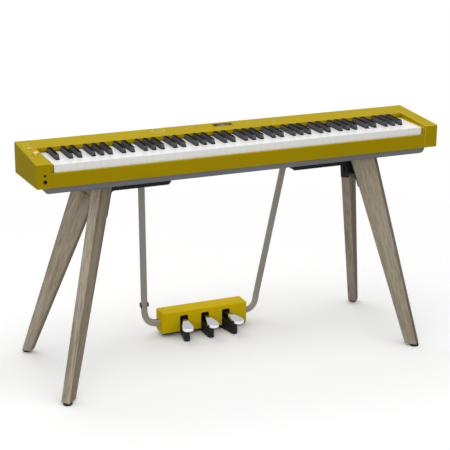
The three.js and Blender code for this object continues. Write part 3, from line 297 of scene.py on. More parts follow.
board = Finish("board_green")
tracks = board.turned((0, 0, 0.785), (260, 40, 260))
board.put("Base Color", board.ramp(
    board.noise(1, 1, tracks), (0.48, (0.012, 0.07, 0.03)), (0.52, (0.03, 0.16, 0.06))))
board.put("Roughness", board.spread(board.noise(300), 0.3, 0.45))
board = board.keep()

speaker = Finish("speaker_black")
cone = speaker.noise(420, 5)
speaker.put("Base Color", speaker.ramp(cone, (0.3, (0.01, 0.01, 0.011)), (0.7, (0.03, 0.03, 0.032))))
speaker.bump(cone, 0.6, 0.0005)
speaker = speaker.keep(Roughness=0.75)
print("finishes:", len(bpy.data.materials))

# %% [markdown]
# ## Pale print and light
# The marks near the knob are printed in a pale ink, and the display shows a few lit bars. The
# photograph's words and names are left out; the marks here are plain bars that mean nothing special.

# %% Print and lit bars
ink = moulded("print_pale", (0.74, 0.68, 0.4), rough=0.5, grain=900, depth=0.1, vary=0.04)
lit = Finish("display_light")
flicker = lit.ramp(lit.noise(900, 1), (0.3, (0.2, 0.21, 0.23)), (0.7, (0.32, 0.34, 0.37)))
lit.put("Base Color", flicker)
lit.put("Emission Color", flicker)
lit = lit.keep(Emission_Strength=0.4, Roughness=0.4)

# %% [markdown]
# ## Wood
# The legs are a greyed ash: long pale and dark streaks with fine pores along the board. Each board
# leans its own way, so the same recipe is made once for each board with the pattern turned to it.
# Faces that look to the right get less light in the photograph, so they are a darker wood as well.

# %% Wood along a direction
wood_tones = (
    (0.32, (0.36, 0.306, 0.225)), (0.5, (0.53, 0.457, 0.345)), (0.68, (0.63, 0.55, 0.43)))
pore_tones = ((0.38, (0.66, 0.63, 0.58)), (0.52, (1, 1, 1)))
shade_colour = (1, 0.97, 0.92)
shade_left = 0.72
shade_right = 0.42


def wood(name, along, shift, side):
    """Streaks along a board, moved by a shift, with darker faces to the right."""
    finish = Finish(name)
    turn = Vector(along).rotation_difference(Vector((0, 0, 1))).to_euler()
    rows = finish.turned(turn, (1, 1, 0.045))
    moved = new_node(finish.nodes, "ShaderNodeMapping", Location=(shift, shift * 2, shift * 3))
    finish.join(rows, moved, "Vector")
    rows = moved.outputs["Vector"]
    bands = finish.noise(38, 3, rows, 0.55)
    fine = finish.noise(420, 3, rows, 0.6)
    tone = finish.ramp(bands, *wood_tones)
    pores = finish.ramp(fine, *pore_tones)
    shade = mixed(shade_colour, shade_left if side < 0 else shade_right)
    sides = finish.ramp(finish.facing("X"), (0.1, (1, 1, 1)), (0.5, shade))
    finish.put("Base Color", finish.multiplied(finish.multiplied(tone, pores), sides))
    finish.put("Roughness", finish.spread(bands, 0.62, 0.5))
    finish.bump(fine, 0.35, 0.0004)
    return finish.keep(Specular_IOR_Level=0.03)


# %% [markdown]
# ## Helpers for pieces
# A new piece is a bmesh that becomes an object at the origin, with its place in its mesh. It rides
# on a CAD body, stands for CAD nodes, and takes the finish it is given.


# %% From bmesh to piece
def piece(name, bm, material, body="case", nodes=(), smooth=True):
    """An object made from a bmesh, with its finish, on its body and in place of the CAD nodes it hides.
    """
    bmesh.ops.remove_doubles(bm, verts=bm.verts, dist=1e-6)
    bmesh.ops.recalc_face_normals(bm, faces=bm.faces)
    mesh = bpy.data.meshes.new(name)
    bm.to_mesh(mesh)
    bm.free()
    mesh.materials.append(material)
    mesh.polygons.foreach_set("use_smooth", [smooth] * len(mesh.polygons))
    made = bpy.data.objects.new(name, mesh)
    bpy.context.collection.objects.link(made)
    if smooth:
        made.modifiers.new("flat_faces", "WEIGHTED_NORMAL")
    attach(made, body)
    if nodes:
        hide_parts(*nodes)
    return made


def keep_cad(node, material, size, steps=2, highlight_finish=None):
    """A CAD node keeps its mesh and gets a finish and soft edges, with a painted highlight on them if one
    is given.
    """
    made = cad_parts[node]
    made.data.materials.clear()
    made.data.materials.append(material)
    made.data.polygons.foreach_set("use_smooth", [True] * len(made.data.polygons))
    made.modifiers.new("weld", "WELD").merge_threshold = 1e-5
    flat = made.modifiers.new("flat", "DECIMATE")
    flat.decimate_type = "DISSOLVE"
    flat.angle_limit = math.radians(0.5)
    if size:
        edge = made.modifiers.new("edge", "BEVEL")
        edge.width = size / 1000
        edge.segments = steps
        edge.limit_method = "ANGLE"
        edge.angle_limit = math.radians(28)
        edge.use_clamp_overlap = True
        if highlight_finish:
            made.data.materials.append(highlight_finish)
            edge.material = 1
    made.modifiers.new("flat_faces", "WEIGHTED_NORMAL")


# %% Shapes in a bmesh
sharp_angle = 0.5


def soften(bm, size, edges=None, steps=3):
    """Rounds the sharp edges of a bmesh, or those given."""
    if edges is None:
        edges = [e for e in bm.edges if e.is_manifold and e.calc_face_angle(0) > sharp_angle]
    bmesh.ops.bevel(
        bm, geom=edges, offset=size / 1000, offset_type="OFFSET", segments=steps, profile=0.5,
        affect="EDGES", clamp_overlap=True, material=-1)


def raised(bm, outline, lift):
    """A closed block from a flat outline, pulled along millimetres; gives the pulled vertices."""
    face = bm.faces.new([bm.verts.new(place) for place in outline])
    pulled = bmesh.ops.extrude_face_region(bm, geom=[face])
    top = [v for v in pulled["geom"] if isinstance(v, bmesh.types.BMVert)]
    bmesh.ops.translate(bm, verts=top, vec=Vector(lift) / 1000)
    return top


def cuboid(bm, across, along, upward, place=at):
    """A block between two values on each axis, in millimetres."""
    for vertex in bmesh.ops.create_cube(bm, size=1)["verts"]:
        spans = zip((across, along, upward), vertex.co)
        vertex.co = place(*(span[value > 0] for span, value in spans))


def mark(bm, x, y, wide, deep, upward):
    """A thin plate about a place on the top that it is drawn on."""
    cuboid(
        bm, (x - wide / 2, x + wide / 2), (y - deep / 2, y + deep / 2), upward, about_origin)


def turned_shape(bm, profile, steps):
    """A turned shape about Z from a profile of (radius, height) in millimetres."""
    line = [bm.verts.new(Vector((radius, 0, height)) / 1000) for radius, height in profile]
    edges = [bm.edges.new(pair) for pair in zip(line, line[1:])]
    bmesh.ops.spin(
        bm, geom=line + edges, cent=(0, 0, 0), axis=(0, 0, 1), angle=2 * math.pi, steps=steps,
        use_merge=True, use_duplicate=False)
    bmesh.ops.remove_doubles(bm, verts=bm.verts, dist=1e-6)


def merge(whole, part):
    """Adds a bmesh to another one and frees it."""
    loose = bpy.data.meshes.new("loose")
    part.to_mesh(loose)
    part.free()
    whole.from_mesh(loose)
    bpy.data.meshes.remove(loose)


# %% [markdown]
# ## Case
# The case is made of thin mouldings that the CAD model already cuts exactly, with their sockets,
# slots and holes. They keep that mesh. Real mouldings never have knife edges, so a bevel modifier
# rounds them, and weighted normals keep the large faces flat. On the end blocks and the panel the
# bevels take a lighter mustard, a painted highlight along the edges. The front rail is drawn anew
# with a rounded nose. Thin black strips sunk in the gaps where the end blocks meet the panel and the
# rail paint the shade of those gaps, so that they show as dark seams.

# %% Case, tray and what is inside
# The bevels of the end blocks and the panel take the lighter mustard, a painted highlight.
for node in ("end_block_left", "end_block_right"):
    keep_cad(node, mustard, 2, 3, painted_edge_highlight)
keep_cad("top_panel", mustard, 0.9, 2, painted_edge_highlight)
keep_cad("bottom_tray", grey, 0.9)
for node, material in (
        ("key_frame", steel), ("key_felt", felt), ("main_board", board),
        ("speaker_left", speaker), ("speaker_right", speaker)):
    keep_cad(node, material, 0)
for node in ("phones_sockets", "rear_sockets"):
    keep_cad(node, black_plastic, 0.4)
print("case finished")

# %% Front rail and seams
inner_half = 624.4
nose_round = 3
nose_level = 720.4
nose_angles = (0, 0.4, 0.8, 1.2, math.pi / 2)
nose = [
    (nose_round - nose_round * math.cos(a), nose_level + nose_round * math.sin(a))
    for a in nose_angles]
profile = nose + [(5.2, 723.4), (6, 722.6), (6, 682), (20, 682), (20, 679), (0.6, 679), (0, 679.6)]
rail = bmesh.new()
raised(rail, [at(-inner_half, y, z) for y, z in profile], (2 * inner_half, 0, 0))
piece("key_slip_rail", rail, mustard, "case", ("key_slip",))

seam_half = 0.6
seam_deep = 1.5
seam_outside = 0.15
top_seam = ((157.5, 759.7), (239.5, 764.3))
front_seam = ((0.5, 680), (0.5, 722))
# Black strips sunk in the gaps: painted shade where the end blocks meet the panel and the rail.
seam_shade_strips = bmesh.new()
for side in (-1, 1):
    x = side * (inner_half + seam_outside)
    for line, away in ((top_seam, (0, 0, -seam_deep)), (front_seam, (0, seam_deep, 0))):
        left, right = ([at(edge, y, z) for y, z in line] for edge in (x - seam_half, x + seam_half))
        raised(seam_shade_strips, [left[0], right[0], right[1], left[1]], away)
piece("case_seam_shade", seam_shade_strips, black_plastic, smooth=False)
print("front rail and seams in place")

# %% [markdown]
# ## White keys
# A white key is a box with a wide head and a narrow tail that runs between the black keys. Its plan
# follows from its place in the octave and is pulled down to the key's underside, and all its edges
# are rounded by the small radius that fingers feel. One piece holds the keys of one comb.

# %% Plan of the white keys
pitch_white = 23.6
key_gap = 0.3
key_round = 0.3
key_top = 745.6
key_under = 721.5
key_front = 9.6
head_end = 59.6
key_rear = 187
least_step = 0.1
keys_half = 26 * pitch_white
octave = 7 * pitch_white
first_c = -keys_half + 2 * pitch_white


def tail_span(i):
    """Left and right side of the tail of white key i, from the octave's start."""
    start, whites = (0, 3) if i < 3 else (3, 4)
    share = whites * pitch_white / (2 * whites - 1)
    left = start * pitch_white + 2 * (i - start) * share
    return left, left + share


def white_key(bm, start, i, tail=None):
    """White key i of the octave at start, with another tail where one is given."""
    left = start + i * pitch_white + key_gap / 2
    right = left + pitch_white - key_gap
    near, far = tail or tail_span(i)
    tail_left = start + near + key_gap / 2
    tail_right = start + far - key_gap / 2
    plan = [(left, key_front), (right, key_front)]
    if tail_right < right - least_step:
        plan += [(right, head_end), (tail_right, head_end)]
    plan += [(tail_right, key_rear), (tail_left, key_rear)]
    if tail_left > left + least_step:
        plan += [(tail_left, head_end), (left, head_end)]
    raised(bm, [at(x, y, key_top) for x, y in plan], (0, 0, key_under - key_top))


# %% Spines that join the keys of a comb
spine_low = 712
spine_thick = 5.2
spine_step = 5.5
spine_span = (185, 217)
web_span = (181, 186)
web_overlap = 1
comb_inset = 1


def spine(bm, left, right, level):
    """The bar at the rear of a comb, and the web that carries the keys onto it."""
    low = spine_low + level * spine_step
    for (near, far), height in (
            (spine_span, spine_thick), (web_span, key_under - low + web_overlap)):
        plan = ((left, near), (right, near), (right, far), (left, far))
        raised(bm, [at(x, y, low) for x, y in plan], (0, 0, height))


# %% Combs of white keys
def white_comb(name, keys, start, level, ends):
    """A piece with the white keys of one comb, each given by its number and its tail."""
    bm = bmesh.new()
    for i, tail in keys:
        white_key(bm, start, i, tail)
    soften(bm, key_round, steps=2)
    spine(bm, *ends, level)
    piece(name + "_keys", bm, white, "b_" + name, (name,))


for number in range(7):
    start = first_c + number * octave
    ends = (start + comb_inset, start + octave - comb_inset)
    white_comb(f"keys_ceg_b_{number + 1}", [(i, None) for i in (0, 2, 4, 6)], start, 0, ends)
    white_comb(f"keys_dfa_{number + 1}", [(i, None) for i in (1, 3, 5)], start, 1, ends)
low_a_spine = (119, 134)
low_b_spine = (151.5, 163)
high_c_spine = (comb_inset, 22)
low_start = first_c - octave
low_tail = (5 * pitch_white, tail_span(5)[1])
last_c = first_c + 7 * octave
white_comb("key_a_low", [(5, low_tail)], low_start, 0, [low_start + x for x in low_a_spine])
white_comb("key_b_low", [(6, None)], low_start, 0, [low_start + x for x in low_b_spine])
white_comb("key_c_high", [(0, (0, pitch_white))], last_c, 0, [last_c + x for x in high_c_spine])
print("white keys in place, last C at", round(last_c, 1))

# %% [markdown]
# ## Black keys
# A black key narrows upwards and its front leans back. It starts as a cube whose corners are moved
# to the foot and the crown, and a wide bevel gives the soft shoulder. It shows as a pale line, partly
# from the light it catches and partly because the finish paints shade only on the flat tops.

# %% Black keys
cap_end = 155.5
cap_low = 742
sharp_foot = 61.4
sharp_top = 761.6
sharp_under = 730
foot_half = 6.3
crown_half = 5.3
front_lean = 5.5
crown_round = 1.7
low_sharp_half = 3.5


def mean_height(edge):
    """The mean height of an edge in millimetres."""
    return (edge.verts[0].co.z + edge.verts[1].co.z) / 2 * 1000


def black_key(bm, middle):
    """A cap with a soft crown, the block that it stands on and a narrower tail behind it."""
    cap = bmesh.ops.create_cube(bm, size=1)["verts"]
    for vertex in cap:
        side, back, up = (1 if value > 0 else -1 for value in vertex.co)
        half = crown_half if up > 0 else foot_half
        front = sharp_foot + (front_lean if up > 0 else 0)
        height = sharp_top if up > 0 else cap_low
        vertex.co = at(middle + side * half, cap_end if back > 0 else front, height)
    crown = {e for v in cap for e in v.link_edges if mean_height(e) > cap_low + 2}
    soften(bm, crown_round, list(crown), 4)
    for half, along, top in (
            (foot_half, (sharp_foot, cap_end), cap_low + 0.1),
            (crown_half, (cap_end - 1, key_rear), cap_low + 1)):
        cuboid(bm, (middle - half, middle + half), along, (sharp_under, top))


def sharp_middle(start, i):
    """The middle of the gap between the tails of white keys i and i + 1."""
    return start + (tail_span(i)[1] + tail_span(i + 1)[0]) / 2


def black_comb(name, places, level, ends):
    """A piece with the black keys of one comb, each given by its middle."""
    bm = bmesh.new()
    for middle in places:
        black_key(bm, middle)
    spine(bm, *ends, level)
    piece(name + "_keys", bm, ebony, "b_" + name, (name,))


for number in range(7):
    start = first_c + number * octave
    places = [sharp_middle(start, i) for i in (0, 1, 3, 4, 5)]
    ends = (start + comb_inset, start + octave - comb_inset)
    black_comb(f"keys_sharp_{number + 1}", places, 2, ends)
low_sharp = sharp_middle(low_start, 5)
ends = (low_sharp - low_sharp_half, low_sharp + low_sharp_half)
black_comb("key_a_sharp_low", [low_sharp], 0, ends)
print("black keys in place")

# %% [markdown]
# ## Legs
# Each leg is a board of even thickness that widens upwards, in plan a long rectangle turned by about
# 45 degrees. The board is a four-sided face at the foot, pulled up to the face at its head. Its long
# edges are well rounded. The rims are only broken, because the head is cut flat against the tray and
# the foot stands on its glide. A rear leg has a joint below its head, a fine line across the board.

# %% Plans of the legs
leg_foot = 8
leg_head = 653.2
front_thick = 29.8
front_degrees = 46.2
front_ends = (((605.9, -45.7), 40.7), ((463.3, 43.7), 82.6))
rear_thick = 28.4
rear_degrees = -43.9
rear_ends = (((610.2, 432.9), 32.1), ((466.7, 233.6), 91))


def leg_plan(corner, wide, thick, degrees, towards):
    """Four corners in plan: the outer one, across the thickness, and the two at the inner end."""
    angle = math.radians(degrees)
    across = (math.cos(angle) * thick, math.sin(angle) * thick)
    inward = (-math.sin(angle) * towards * wide, math.cos(angle) * towards * wide)
    x, y = corner
    return [
        (x, y), (x + across[0], y + across[1]),
        (x + across[0] + inward[0], y + across[1] + inward[1]), (x + inward[0], y + inward[1])]


front_plans = [leg_plan(*end, front_thick, front_degrees, 1) for end in front_ends]
rear_plans = [leg_plan(*end, rear_thick, rear_degrees, -1) for end in rear_ends]


def leg_ring(plans, z, side):
    """The four corners of a leg at a height, on the left or the right."""
    share = (z - leg_foot) / (leg_head - leg_foot)
    return [
        at(side * (a[0] + (b[0] - a[0]) * share), a[1] + (b[1] - a[1]) * share, z)
        for a, b in zip(*plans)]


def middle_of(ring):
    return sum(ring, Vector()) / len(ring)


outer_edge = leg_ring(front_plans, leg_foot, 1)[0] - leg_ring(front_plans, leg_head, 1)[0]
print("front leg is", round(outer_edge.length, 3), "m")


# %% Boards
board_round = 1.8
rim_round = 0.6
rim_angle = 0.8


def board_piece(name, low, high, material, nodes=(), renew=False):
    """A board between two rings of places; its normals are renewed before the bevels if asked."""
    bm = bmesh.new()
    for vertex in raised(bm, low, (0, 0, 0)):
        corner = min(range(len(low)), key=lambda i: (low[i] - vertex.co).length)
        vertex.co = high[corner]
    if renew:
        bmesh.ops.recalc_face_normals(bm, faces=bm.faces)
    rise = abs(high[0].z - low[0].z)
    long_edges = [e for e in bm.edges if abs(e.verts[0].co.z - e.verts[1].co.z) > 0.5 * rise]
    soften(bm, board_round, long_edges, 3)
    soften(bm, rim_round, [e for e in bm.edges if e.calc_face_angle(0) > rim_angle], 2)
    piece(name, bm, material, "case", nodes)


right_foot = leg_ring(rear_plans, leg_foot, 1)
right_head = leg_ring(rear_plans, leg_head, 1)
rear_axis = (middle_of(right_head) - middle_of(right_foot)).normalized()
joint_below = 62.6
joint_gap = 1.6


def joint_ring(side, shift):
    """The ring where a rear leg is cut square to its own length, moved up it by millimetres."""
    level = rear_axis.dot(middle_of(right_head)) + (shift - joint_below) / 1000
    ring = []
    for low, high in zip(right_foot, right_head):
        share = (level - rear_axis.dot(low)) / (rear_axis.dot(high) - rear_axis.dot(low))
        place = low.lerp(high, share)
        ring.append(Vector((side * place.x, place.y, place.z)))
    return ring


for word, side in both_sides:
    low, high = (leg_ring(front_plans, z, side) for z in (leg_foot, leg_head))
    grain = wood(f"leg_wood_front_{word}", middle_of(high) - middle_of(low), 1.3 * side, side)
    board_piece(f"leg_front_{word}_board", low, high, grain, (f"leg_front_{word}",), True)
    low, high = (leg_ring(rear_plans, z, side) for z in (leg_foot, leg_head))
    grain = wood(f"leg_wood_rear_{word}", middle_of(high) - middle_of(low), 2.1 * side, side)
    cut_low, cut_high = joint_ring(side, 0), joint_ring(side, joint_gap)
    board_piece(f"leg_rear_{word}_board", low, cut_low, grain, (f"leg_rear_{word}",), True)
    board_piece(f"leg_rear_{word}_head", cut_high, high, grain)
print("legs in place")

# %% [markdown]
# ## Block between the heads
# A short block of the same wood joins the heads of the two legs under the tray. It is lofted the
# same way as a board, from six places on the legs' faces.

# %% Bridge blocks
bridge_low = 622
bridge_level = 640
bridge_corners = ((0.6, 0.1), (0.05, 0.1), (0.05, 0.9))


def leg_spot(plans, z, along, across, side, beyond=0):
    """A place on a leg, by shares of its width and thickness and millimetres past its width."""
    outer, outer_far, inner_far, inner = leg_ring(plans, z, side)
    start = outer.lerp(outer_far, across)
    finish = inner.lerp(inner_far, across)
    return start.lerp(finish, along + beyond / 1000 / (finish - start).length)


def bridge_ring(z, side):
    """Three places on the front leg and three on the rear leg."""
    front = [leg_spot(front_plans, z, a, b, side) for a, b in bridge_corners]
    rear = [leg_spot(rear_plans, z, a, b, side) for a, b in reversed(bridge_corners)]
    return front + rear


for word, side in both_sides:
    front, rear = (leg_spot(plans, bridge_level, 0, 0, side) for plans in (front_plans, rear_plans))
    grain = wood(f"leg_wood_bridge_{word}", rear - front, 3.7 * side, side)
    low, high = (bridge_ring(z, side) for z in (bridge_low, leg_head))
    board_piece(f"leg_bridge_{word}", low, high, grain)
print("bridges in place")

# %% [markdown]
# ## Steel brackets and bars
# Folded steel already has its shape in the CAD model. Thin painted sheet has a small rolled edge,
# so a bevel of less than a millimetre is enough. Pan-head screws hold the wings to the legs.

# %% Brackets, bars and glides
for side in ("left", "right"):
    keep_cad(f"bracket_{side}", bracket_black, 0.5)
    keep_cad(f"pedal_bar_{side}", bar_paint, 0.8)
    for end in ("front", "rear"):
        keep_cad(f"glide_{end}_{side}", rubber, 0.5)

# %% Screws on the wings
screw_heights = (566, 606)
wing_face = 2.8
further_up = 40
screw_profile = (
    (0, 0.9), (1.7, 0.9), (2, 2.3), (3.2, 2.2), (4.2, 1.5), (4.6, 0.6), (4.6, 0), (0, 0))
for word, side in both_sides:
    screws = bmesh.new()
    for plans in (front_plans, rear_plans):
        for z in screw_heights:
            middle = leg_spot(plans, z, 1, 0.5, side, wing_face)
            across = leg_spot(plans, z, 1, 1, side) - leg_spot(plans, z, 1, 0, side)
            along = leg_spot(plans, z + further_up, 1, 0.5, side, wing_face) - middle
            away = across.cross(along).normalized()
            outward = leg_spot(plans, z, 1, 0.5, side) - leg_spot(plans, z, 0, 0.5, side)
            away *= 1 if away.dot(outward) > 0 else -1
            screw = bmesh.new()
            turned_shape(screw, screw_profile, 18)
            turn = Vector((0, 0, 1)).rotation_difference(away).to_matrix().to_4x4()
            screw.transform(Matrix.Translation(middle) @ turn)
            merge(screws, screw)
    piece(f"bracket_screws_{word}", screws, bracket_black, "case", ())
print("screws in place")

# %% [markdown]
# ## Pedal box
# The box is a folded cover with soft corners and three arched slots. A cube is bevelled, its bottom
# is taken off, planes cut the slots into the front, and a Solidify modifier gives the sheet its wall.

# %% Pedal box
box_half = 156.3
box_front = 349
box_back = 412
box_low = 15
box_top = 88
box_round = 4.5
box_wall = 2.5
slot_half = 14.6
slot_top = 72
slot_round = 5
chord_share = 0.99
pedal_places = (-77.4, 0, 77.4)


def cut(bm, faces, place, normal):
    """Cuts some faces along a plane and gives the faces back."""
    whole = list(faces)
    geom = whole + list({e for f in whole for e in f.edges}) + list({v for f in whole for v in f.verts})
    made = bmesh.ops.bisect_plane(bm, geom=geom, dist=1e-7, plane_co=place, plane_no=normal)
    return [g for g in made["geom"] if isinstance(g, bmesh.types.BMFace)]


def in_slot(face, middle):
    """Whether a face of the front lies in the square that holds a pedal's slot."""
    centre = face.calc_center_median() * 1000
    return face.normal.y < -0.9 and abs(centre.x - middle) < slot_half and centre.z < slot_top


box = bmesh.new()
cuboid(box, (-box_half, box_half), (box_front, box_back), (box_low, box_top))
half_height = (box_low + box_top) / 2000
soften(box, box_round, [e for e in box.edges if max(v.co.z for v in e.verts) > half_height], 4)
bmesh.ops.delete(box, geom=[f for f in box.faces if f.normal.z < -0.9], context="FACES")
for middle in pedal_places:
    for x in (middle - slot_half, middle + slot_half):
        cut(box, box.faces, at(x, 0, 0), (1, 0, 0))
cut(box, box.faces, at(0, 0, slot_top), (0, 0, 1))
for middle in pedal_places:
    slot = [f for f in box.faces if in_slot(f, middle)]
    chords = []
    for side in (-1, 1):
        centre = at(middle + side * (slot_half - slot_round), box_front, slot_top - slot_round)
        for degrees in (22.5, 45, 67.5):
            angle = math.radians(degrees)
            normal = Vector((side * math.cos(angle), 0, math.sin(angle)))
            place = centre + normal * slot_round / 1000 * chord_share
            chords.append((place, normal))
            slot = cut(box, slot, place, normal)
    gone = [
        f for f in box.faces if in_slot(f, middle)
        and all((f.calc_center_median() - place).dot(normal) < 0 for place, normal in chords)]
    bmesh.ops.delete(box, geom=gone, context="FACES")
bmesh.ops.recalc_face_normals(box, faces=box.faces)
# The cover's brighter mustard is painted light.
cover = piece("pedal_box_cover", box, box_mustard_painted_light, "case", ("pedal_box",))
wall = cover.modifiers.new("wall", "SOLIDIFY")
wall.thickness = box_wall / 1000
wall.offset = -1
# The inner faces of the wall are black plastic: painted shade for the dark inside of the box.
wall.material_offset = 1
cover.data.materials.append(black_plastic)
cover.modifiers.move(1, 0)
keep_cad("pedal_base", black_plastic, 1.2, 3)
keep_cad("pedal_shaft", steel, 0.5)
print("pedal box faces:", len(cover.data.polygons))

# %% [markdown]
# ## Pedals
# A pedal is a black arm on the shaft and a chrome plate shaped like a pear. The plate's outline is
# drawn from above, given its thickness, tilted and splayed, and its rim gets a wide soft bevel that
# bends the reflections, as the thick rolled edge of the real plate does.

# %% Pedals
splay = 11.2
fall = 0.105
plate_top = 66.2
plate_thick = 10
plate_round = 1.4
plate_tip = 257.2
plate_outline = (
    (8.2, 329), (10.2, 320), (13, 308), (16, 296), (18.5, 286), (19.5, 276.5), (18.6, 269), (15.9, 263.8),
    (11.6, 260), (6.2, 257.8))
arm_blocks = (((300, 346), 5.4, (55.5, 63)), ((322, 389), 6.6, (56.5, 65.6)))
shaft_back = 393
shaft_height = 64
eye_profile = ((5.3, -6.5), (10, -6.5), (10, 6.5), (5.3, 6.5), (5.3, -6.5))


def splayed(middle, turns):
    """Turns a shape drawn about the middle of the case to a pedal's own direction."""
    pivot = Matrix.Translation(at(middle, box_front, 0))
    back = Matrix.Translation(-at(0, box_front, 0))
    return pivot @ Matrix.Rotation(math.radians(turns * splay), 4, "Z") @ back


def tilted(bm):
    """Lets everything in front of the box fall towards the pedal's tip."""
    for vertex in bm.verts:
        ahead = box_front - (vertex.co.y * 1000 - case_front)
        vertex.co.z -= max(ahead, 0) / 1000 * fall


def level_edges(bm, height):
    """The edges that lie level at a height in millimetres."""
    return [
        e for e in bm.edges
        if e.is_manifold and all(abs(v.co.z - height / 1000) < 1e-5 for v in e.verts)]


for word, middle, turns in zip(("left", "middle", "right"), pedal_places, (-1, 0, 1)):
    plate = bmesh.new()
    outline = [*plate_outline, (0, plate_tip), *((-x, y) for x, y in reversed(plate_outline))]
    raised(plate, [at(x, y, plate_top) for x, y in outline], (0, 0, -plate_thick))
    soften(plate, plate_round, level_edges(plate, plate_top), 4)
    soften(plate, plate_round, level_edges(plate, plate_top - plate_thick), 3)
    tilted(plate)
    plate.transform(splayed(middle, turns))
    piece(f"pedal_{word}_plate", plate, chrome, f"b_pedal_{word}", (f"pedal_{word}",))
    arm = bmesh.new()
    for along, half, upward in arm_blocks:
        cuboid(arm, (-half, half), along, upward)
    soften(arm, 1, steps=2)
    tilted(arm)
    arm.transform(splayed(middle, turns))
    eye = bmesh.new()
    turned_shape(eye, eye_profile, 32)
    shaft = Matrix.Translation(at(middle, shaft_back, shaft_height))
    eye.transform(shaft @ Matrix.Rotation(math.pi / 2, 4, "Y"))
    merge(arm, eye)
    piece(f"pedal_{word}_arm", arm, black_plastic, f"b_pedal_{word}", ())
print("pedals in place")

# %% [markdown]
# ## Lead
# The pedal lead leaves the left end of the box, climbs behind the left bar under a clip and ends in
# a plug at the rear wall. It is held all the way, so it is a plain round tube and not a loose cord.
# A curve through a few places, with a round section, gives the tube, and it is then made a mesh.

# %% Lead and plug
lead_radius = 2.3
lead_route = (
    (-153, 384, 54), (-165, 385, 54), (-176, 391, 54), (-189, 398, 60), (-202, 401, 80),
    (-209.4, 394.5, 106), (-210.1, 391, 120.2), (-213, 384, 152.2), (-217.5, 372.9, 202.2),
    (-226.5, 350.7, 302.2), (-235.5, 328.6, 402.2), (-244.5, 306.5, 502.2), (-250.4, 291.9, 568.2),
    (-254, 283.5, 610), (-256, 279.5, 640), (-255.6, 281, 668), (-255.2, 280, 684),
    (-255, 273, 690.4), (-255, 264, 691))
plug_place = (-255, 242, 691)
plug_profile = (
    (0, -13), (2.6, -13), (2.6, 0.3), (5.4, 0.3), (5.8, 0.9), (5.8, 12), (5, 14), (3.4, 15),
    (3.2, 24), (2.4, 25), (0, 25))
line = bpy.data.curves.new("pedal_lead_line", "CURVE")
line.dimensions = "3D"
line.bevel_depth = lead_radius / 1000
line.bevel_resolution = 4
line.resolution_u = 6
line.use_fill_caps = True
run = line.splines.new("NURBS")
run.points.add(len(lead_route) - 1)
for point, place in zip(run.points, lead_route):
    point.co = (*at(*place), 1)
run.use_endpoint_u = True
run.order_u = 4
curve = bpy.data.objects.new("lead_curve", line)
bpy.context.collection.objects.link(curve)
bpy.context.view_layer.update()
tube = bpy.data.meshes.new_from_object(curve.evaluated_get(bpy.context.evaluated_depsgraph_get()))
bpy.data.objects.remove(curve)
lead = bmesh.new()
lead.from_mesh(tube)
plug = bmesh.new()
turned_shape(plug, plug_profile, 28)
plug.transform(Matrix.Translation(at(*plug_place)) @ Matrix.Rotation(-math.pi / 2, 4, "X"))
merge(lead, plug)
piece("pedal_lead_tube", lead, rubber, "case", ("pedal_lead",))
keep_cad("lead_clip", black_plastic, 0.4)
print("lead in place")

# %% [markdown]
# ## Controls on the top
# The display is a painted frame round a black window with a few lit bars. The touch ring is a pale
# inlay in the panel's groove. The knob has fine ribs round its side and the power button a shallow
# dish.

# %% Display
display_place = (2, 212)
frame_wide = 2.4
frame_share = 0.95
glass_edge = 0.3
glass_sink = 0.5
window = bmesh.new()
cuboid(window, (-37, 37), (-15, 15), (-1, 1.2), about_origin)
soften(window, 0.5, steps=3)
lid = [f for f in window.faces if f.normal.z > 0.99]
bmesh.ops.inset_region(
    window, faces=lid, thickness=frame_wide / 1000, depth=0, use_even_offset=True)
lid = max((f for f in window.faces if f.normal.z > 0.99), key=lambda f: f.calc_area())
for vertex in lid.verts:
    vertex.co.x *= frame_share
bmesh.ops.inset_region(
    window, faces=[lid], thickness=glass_edge / 1000, depth=-glass_sink / 1000,
    use_even_offset=True)
for face in window.faces:
    face.material_index = 0 if face is lid else 1
window.transform(top_place(*display_place))
display = piece("display_window", window, glass, "case", ("display",))
display.data.materials.append(mustard)

# %% Lit bars on the display
lit_span = (0.6, 0.82)
bar_depths = (4, 6, 9, 7, 5, 8, 10, 6, 3)
marks = bmesh.new()
for i, deep in enumerate(bar_depths):
    mark(marks, -18 + i * 3.4, deep / 2 - 6, 1.8, deep, lit_span)
for x, y, wide, deep in ((20, 3.4, 14, 1.4), (17, 0, 8, 1.4), (-4, -8, 30, 0.9)):
    mark(marks, x, y, wide, deep, lit_span)
marks.transform(top_place(*display_place))
piece("display_bars", marks, lit, smooth=False)

# %% Touch ring and printed marks
ring_place = (-215, 217)
ring_profile = (
    (18.7, -0.45), (20.8, -0.45), (20.8, 0.1), (20.5, 0.3), (19, 0.3), (18.7, 0.1), (18.7, -0.45))
ring = bmesh.new()
turned_shape(ring, ring_profile, 64)
ring.transform(top_place(*ring_place))
piece("touch_ring", ring, ink)
print_marks = (
    (-652, 199, 7, 2.4), (-639, 195, 7, 2.4), (-657, 168, 5, 2.4), (-636, 166, 5, 2.4),
    (-655, 135, 6, 2.6), (-656, 114, 5, 2.6), (-660, 74, 4, 2.4), (102, 219, 2.6, 2.6),
    (131, 204, 2.6, 2.6), (180, 207, 11, 1.8), (165, 178, 11, 1.8), (-95, 224, 12, 1.8),
    (-120, 212, 9, 1.8))
prints = bmesh.new()
for x, y, wide, deep in print_marks:
    flat = bmesh.new()
    mark(flat, 0, 0, wide, deep, (0.02, 0.1))
    flat.transform(top_place(x, y))
    merge(prints, flat)
piece("panel_prints", prints, ink, smooth=False)

